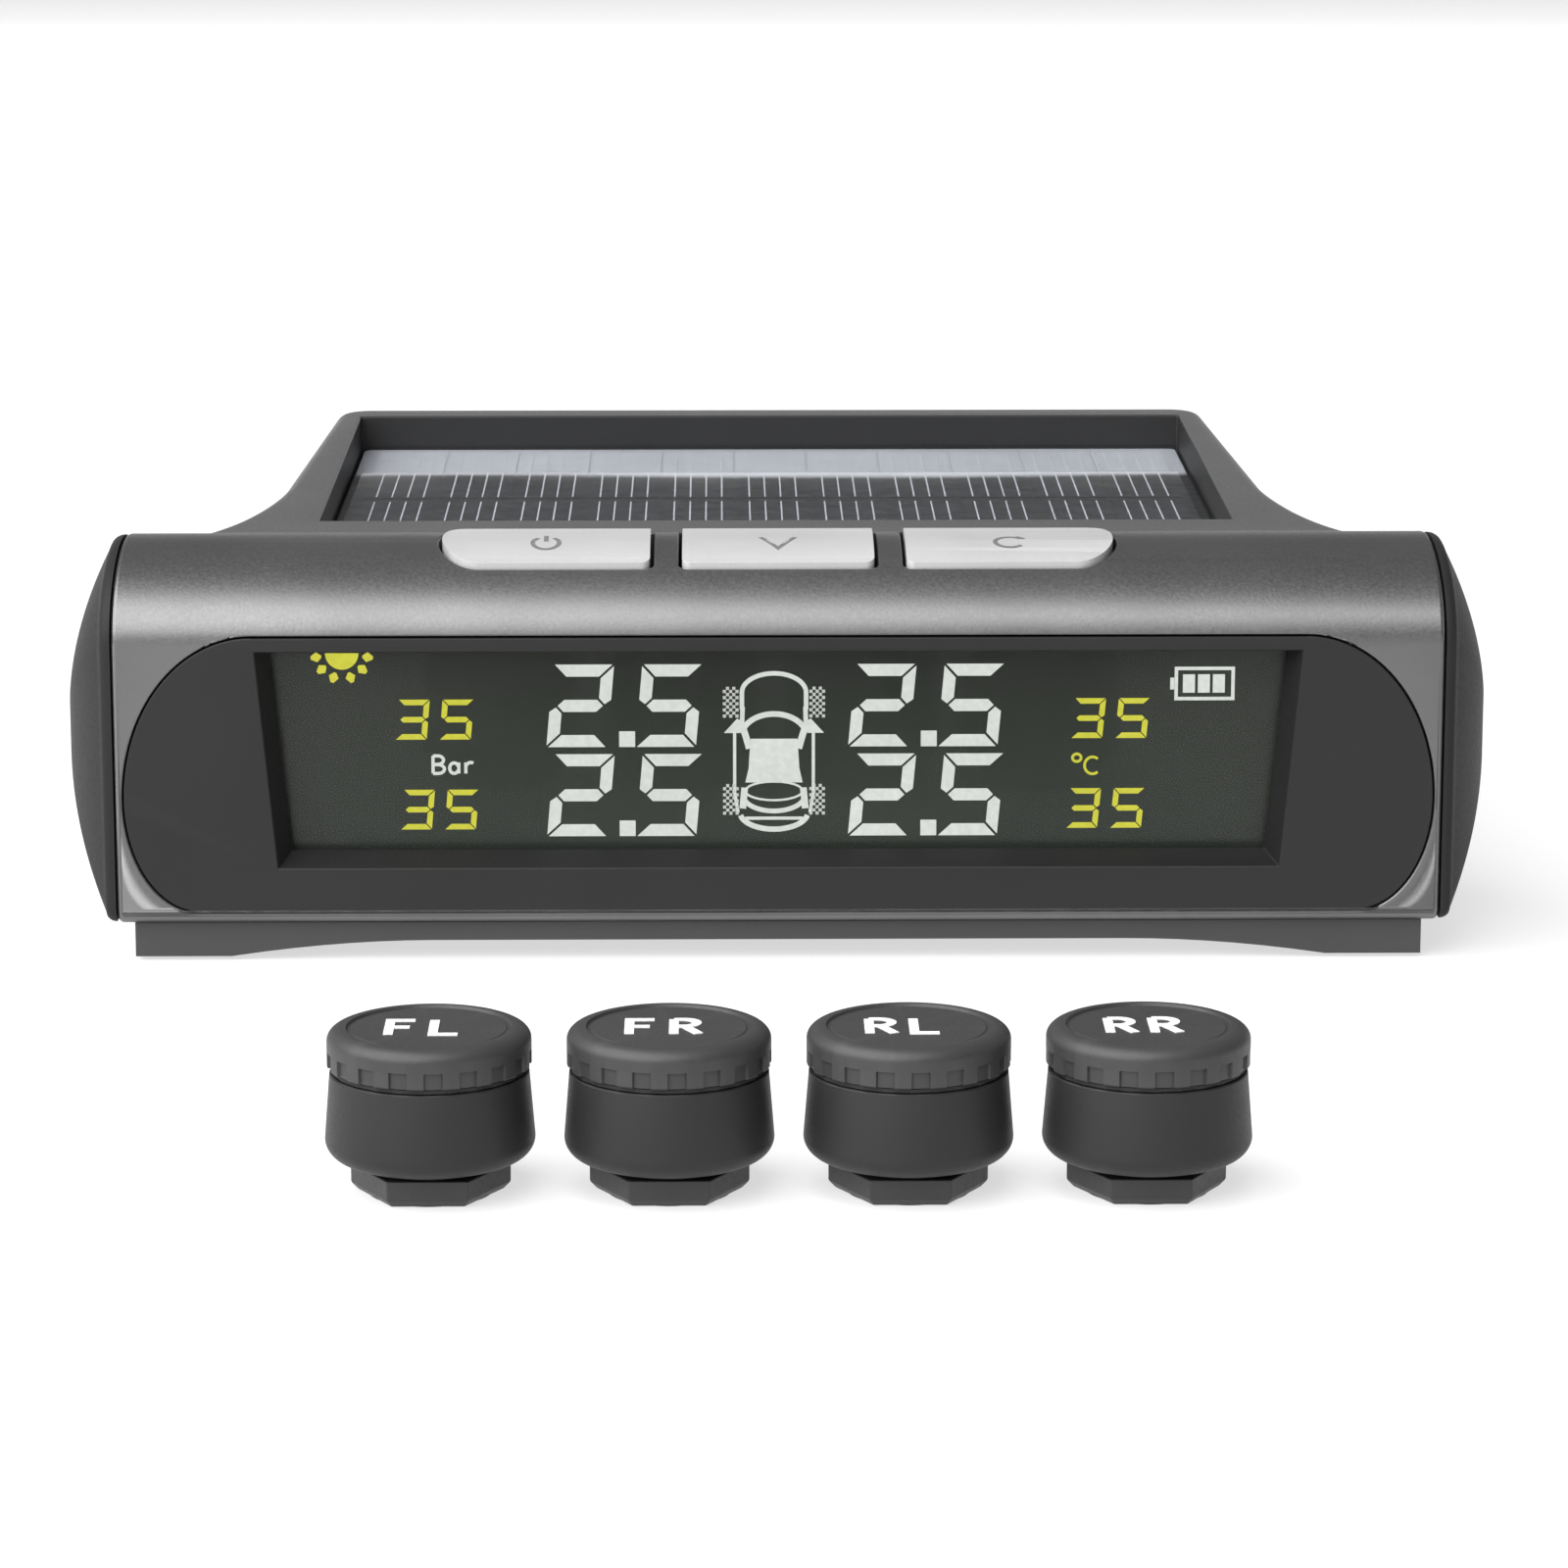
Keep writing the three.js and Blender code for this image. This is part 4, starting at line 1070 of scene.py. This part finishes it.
def make_sensor_cap(name, centre, letters):
    """The toothed cap with its recessed face, and the wheel's letters on it."""
    low, high = box_mm(name + "_sensor_cap")
    skirt, top = low.z, high.z
    rim = (high.x - low.x) / 2
    tooth_top = skirt + TOOTH_HEIGHT
    face = top - FACE_DROP

    def plain(r, z):
        return toothed_ring(centre, r, 0.0, z)

    corner_reach, corner_rise = CAP_CORNER
    rings = [plain(0.6, top - 1.3), plain(rim - CAP_SKIRT, top - 1.3), plain(rim - CAP_SKIRT, skirt)]
    rings.append(toothed_ring(centre, rim - 0.06, 0.14, skirt))
    rings += [toothed_ring(centre, rim, 0.18, z) for z in (skirt + 0.08, tooth_top)]
    rings.append(plain(rim, tooth_top + 0.02))
    shoulder = arc(rim - corner_reach, top - corner_rise, corner_reach, corner_rise, 0, 90, 12)
    groove = [(rim - 1.25, top), (rim - 1.35, face - 0.06), (rim - 1.55, face - 0.06), (rim - 1.62, face)]
    rings += [plain(r, z) for r, z in [*shoulder, *groove, (0.6, face)]]
    cap = loft(name + "_cap", rings, smooth_angle=28)
    dress(cap, name + "_cap", SENSOR_CAP, [name + "_sensor_cap"])

    width, height = 2.35, 3.5
    text = word(letters, centre.x - 2.55, centre.y - height / 2, width, height, 0.62, 1.22)
    mark = thin_plates(name + "_letters", text, "z", face - 0.02, face + 0.05, 0.004)
    dress(mark, name + "_cap", LETTER)


def make_sensor_housing(name, centre):
    """The round body: wide shoulder, collar for the cap above it, bore for the valve insert."""
    low, high = box_mm(name + "_sensor_body")
    foot, wide = low.z, (high.x - low.x) / 2
    shoulder = wide - 0.35
    corner_reach, corner_rise = BODY_CORNER
    ledge = high.z - COLLAR_HEIGHT
    floor = foot + corner_reach
    profile = [(FOOT_BORE, foot), (4.9, foot)]
    profile += arc(wide - corner_reach, floor, corner_reach, corner_rise, -75, 0, 10)
    profile += [(shoulder, ledge - 0.08), (shoulder - 0.08, ledge), (COLLAR_RADIUS, ledge)]
    profile += [(COLLAR_RADIUS, high.z), (COLLAR_BORE, high.z), (COLLAR_BORE, floor), (FOOT_BORE, floor)]
    body = turned(name + "_housing", profile, centre, 144, closed=True)
    dress(body, name + "_sensor", SENSOR, [name + "_sensor_body"])


def make_sensor_neck(name, centre):
    """The six-sided neck and its shank, with a ridged bore for the tyre's valve."""
    low, high = box_mm(name + "_valve_insert")
    foot = box_mm(name + "_sensor_body")[0].z
    flats = (high.y - low.y) / 2
    chamfer = 0.5
    hexagon = [(math.cos(TAU * i / 6), math.sin(TAU * i / 6)) for i in range(6)]
    corner = flats / math.cos(math.pi / 6)
    rings = []
    for reach, z in ((corner - chamfer, low.z), (corner, low.z + chamfer), (corner, foot - 0.3)):
        rings.append([(centre.x + reach * x, centre.y + reach * y, z) for x, y in hexagon])
    neck = loft(name + "_neck", rings)
    shank = [(SHANK_RADIUS, foot - 0.5), (SHANK_RADIUS, high.z)]
    carve(neck, turned("shank", shank, centre, 96), "UNION")
    thread = [(THREAD_RADIUS + THREAD_DEPTH * (i % 2), low.z - 0.2 + THREAD_STEP * i) for i in range(13)]
    carve(neck, turned("bore", thread, centre, 96))
    round_edges(neck, 0.1, 2, 35)
    dress(neck, name + "_sensor", NECK, [name + "_valve_insert"])


def make_sensor(name, letters):
    """One valve-cap sensor: cap, body and neck on the cap's axis."""
    low, high = box_mm(name + "_sensor_cap")
    centre = (low + high) / 2
    make_sensor_cap(name, centre, letters)
    make_sensor_housing(name, centre)
    make_sensor_neck(name, centre)


# ------------------------------------------------------------------ CAD nodes that stay in view
def keep_cad_nodes():
    """The remaining CAD nodes keep their shape and get a finish and small rounded edges."""
    finishes = {
        "base_plastic": BASE, "pad_rubber": RUBBER, "clear_plastic": WINDOW, "lcd_glass": GROUND,
        "light_guide": MILKY, "circuit_board": BOARD, "plated_steel": STEEL, "black_plastic": BLACK,
        "foil_pouch": FOIL, "brass_wire": BRASS, "seal_rubber": SEAL,
    }
    plain = {"window_lens", "lcd_panel", "antenna"}
    for part in frame["record"]["subparts"]:
        if part["material_slot"] not in finishes:
            continue
        thing = nodes[part["node"]]
        thing.data.materials.clear()
        thing.data.materials.append(finishes[part["material_slot"]])
        if part["node"] not in plain:
            round_edges(thing, 0.12, 2, 40)


make_housing()
make_end_caps()
make_bezel()
make_buttons()
make_button_marks()
make_display()
make_cells()
make_solar_cover()
for sensor_name, sensor_letters in SENSORS.items():
    make_sensor(sensor_name, sensor_letters)
keep_cad_nodes()


# ------------------------------------------------------------------ stage, in metres
def staged_sheet(name, corners, material):
    """A flat sheet of the studio, which isn't part of the object."""
    sheet = make_object(name, [Vector(c) / MM for c in corners], [(0, 1, 2, 3)])
    sheet.data.materials.append(material)


def make_floor():
    """A wide white table."""
    reach = 6.0
    drop = 0.00002  # just clear of the pads' lower faces
    corners = [(x, y, -drop) for x, y in rectangle(-reach, reach, -reach, reach)]
    staged_sheet("floor", corners, FLOOR)


def area_light(name, place, aim, size, power):
    """A soft rectangular lamp that faces a point."""
    data = bpy.data.lights.new(name, "AREA")
    data.shape = "RECTANGLE"
    data.size, data.size_y = size
    data.energy = power
    lamp = bpy.data.objects.new(name, data)
    lamp.location = place
    lamp.rotation_mode = "QUATERNION"
    lamp.rotation_quaternion = (Vector(aim) - Vector(place)).to_track_quat("-Z", "Y")
    bpy.context.scene.collection.objects.link(lamp)


def make_camera():
    """A long lens, a little above level and very slightly to the left of the middle."""
    elevation, azimuth, distance = math.radians(12.2), math.radians(0.6), 420.0
    eye_height = 16
    look = Vector((0.36, BAR_FRONT - 0.47, eye_height - 2.19)) * MM
    back = Vector((0, -math.cos(elevation), math.sin(elevation)))
    data = bpy.data.cameras.new("camera")
    data.sensor_width = 36
    data.lens = 129.6
    data.clip_start, data.clip_end = 0.01, 100
    camera = bpy.data.objects.new("camera", data)
    base = Vector((-distance * math.sin(azimuth), BAR_FRONT, eye_height)) * MM
    camera.location = base + back * distance * MM
    camera.rotation_mode = "QUATERNION"
    camera.rotation_quaternion = (look - camera.location).to_track_quat("-Z", "Y")
    bpy.context.scene.collection.objects.link(camera)
    bpy.context.scene.camera = camera


def make_sky():
    """Even white light from all round."""
    world = bpy.data.worlds.new("studio")
    world.use_nodes = True
    ground = world.node_tree.nodes["Background"]
    ground.inputs["Color"].default_value = (1, 1, 1, 1)
    ground.inputs["Strength"].default_value = 0.25
    bpy.context.scene.world = world


def make_lamps():
    """A large front lamp, a wash for the far floor and a low strip behind the object."""
    centre = (0, -0.03, 0.015)
    area_light("front_softbox", (-0.44, -0.38, 0.65), centre, (1.5, 1.16), 24.0)
    # Faces away from the object, and keeps the far side of the floor white.
    area_light("floor_wash", (0, 0.45, 0.45), (0, 1.6, 0.1), (3.0, 0.5), 26.0)
    # With the dark card over it, gives the solar cover its split reflection.
    area_light("rear_strip", (0, 0.64, 0.09), (0, 0, 0.09), (1.6, 0.08), 0.42)


def make_dark_card():
    """A dark card behind the object, mirrored by the front of the solar cover."""
    reach, bottom, top = 0.9, 0.131, 0.5
    corners = [(x, 0.65, z) for x, z in rectangle(-reach, reach, bottom, top)]
    staged_sheet("dark_card", corners, CARD)


make_floor()
make_camera()
make_sky()
make_lamps()
make_dark_card()
bpy.context.scene.view_settings.view_transform = "Standard"
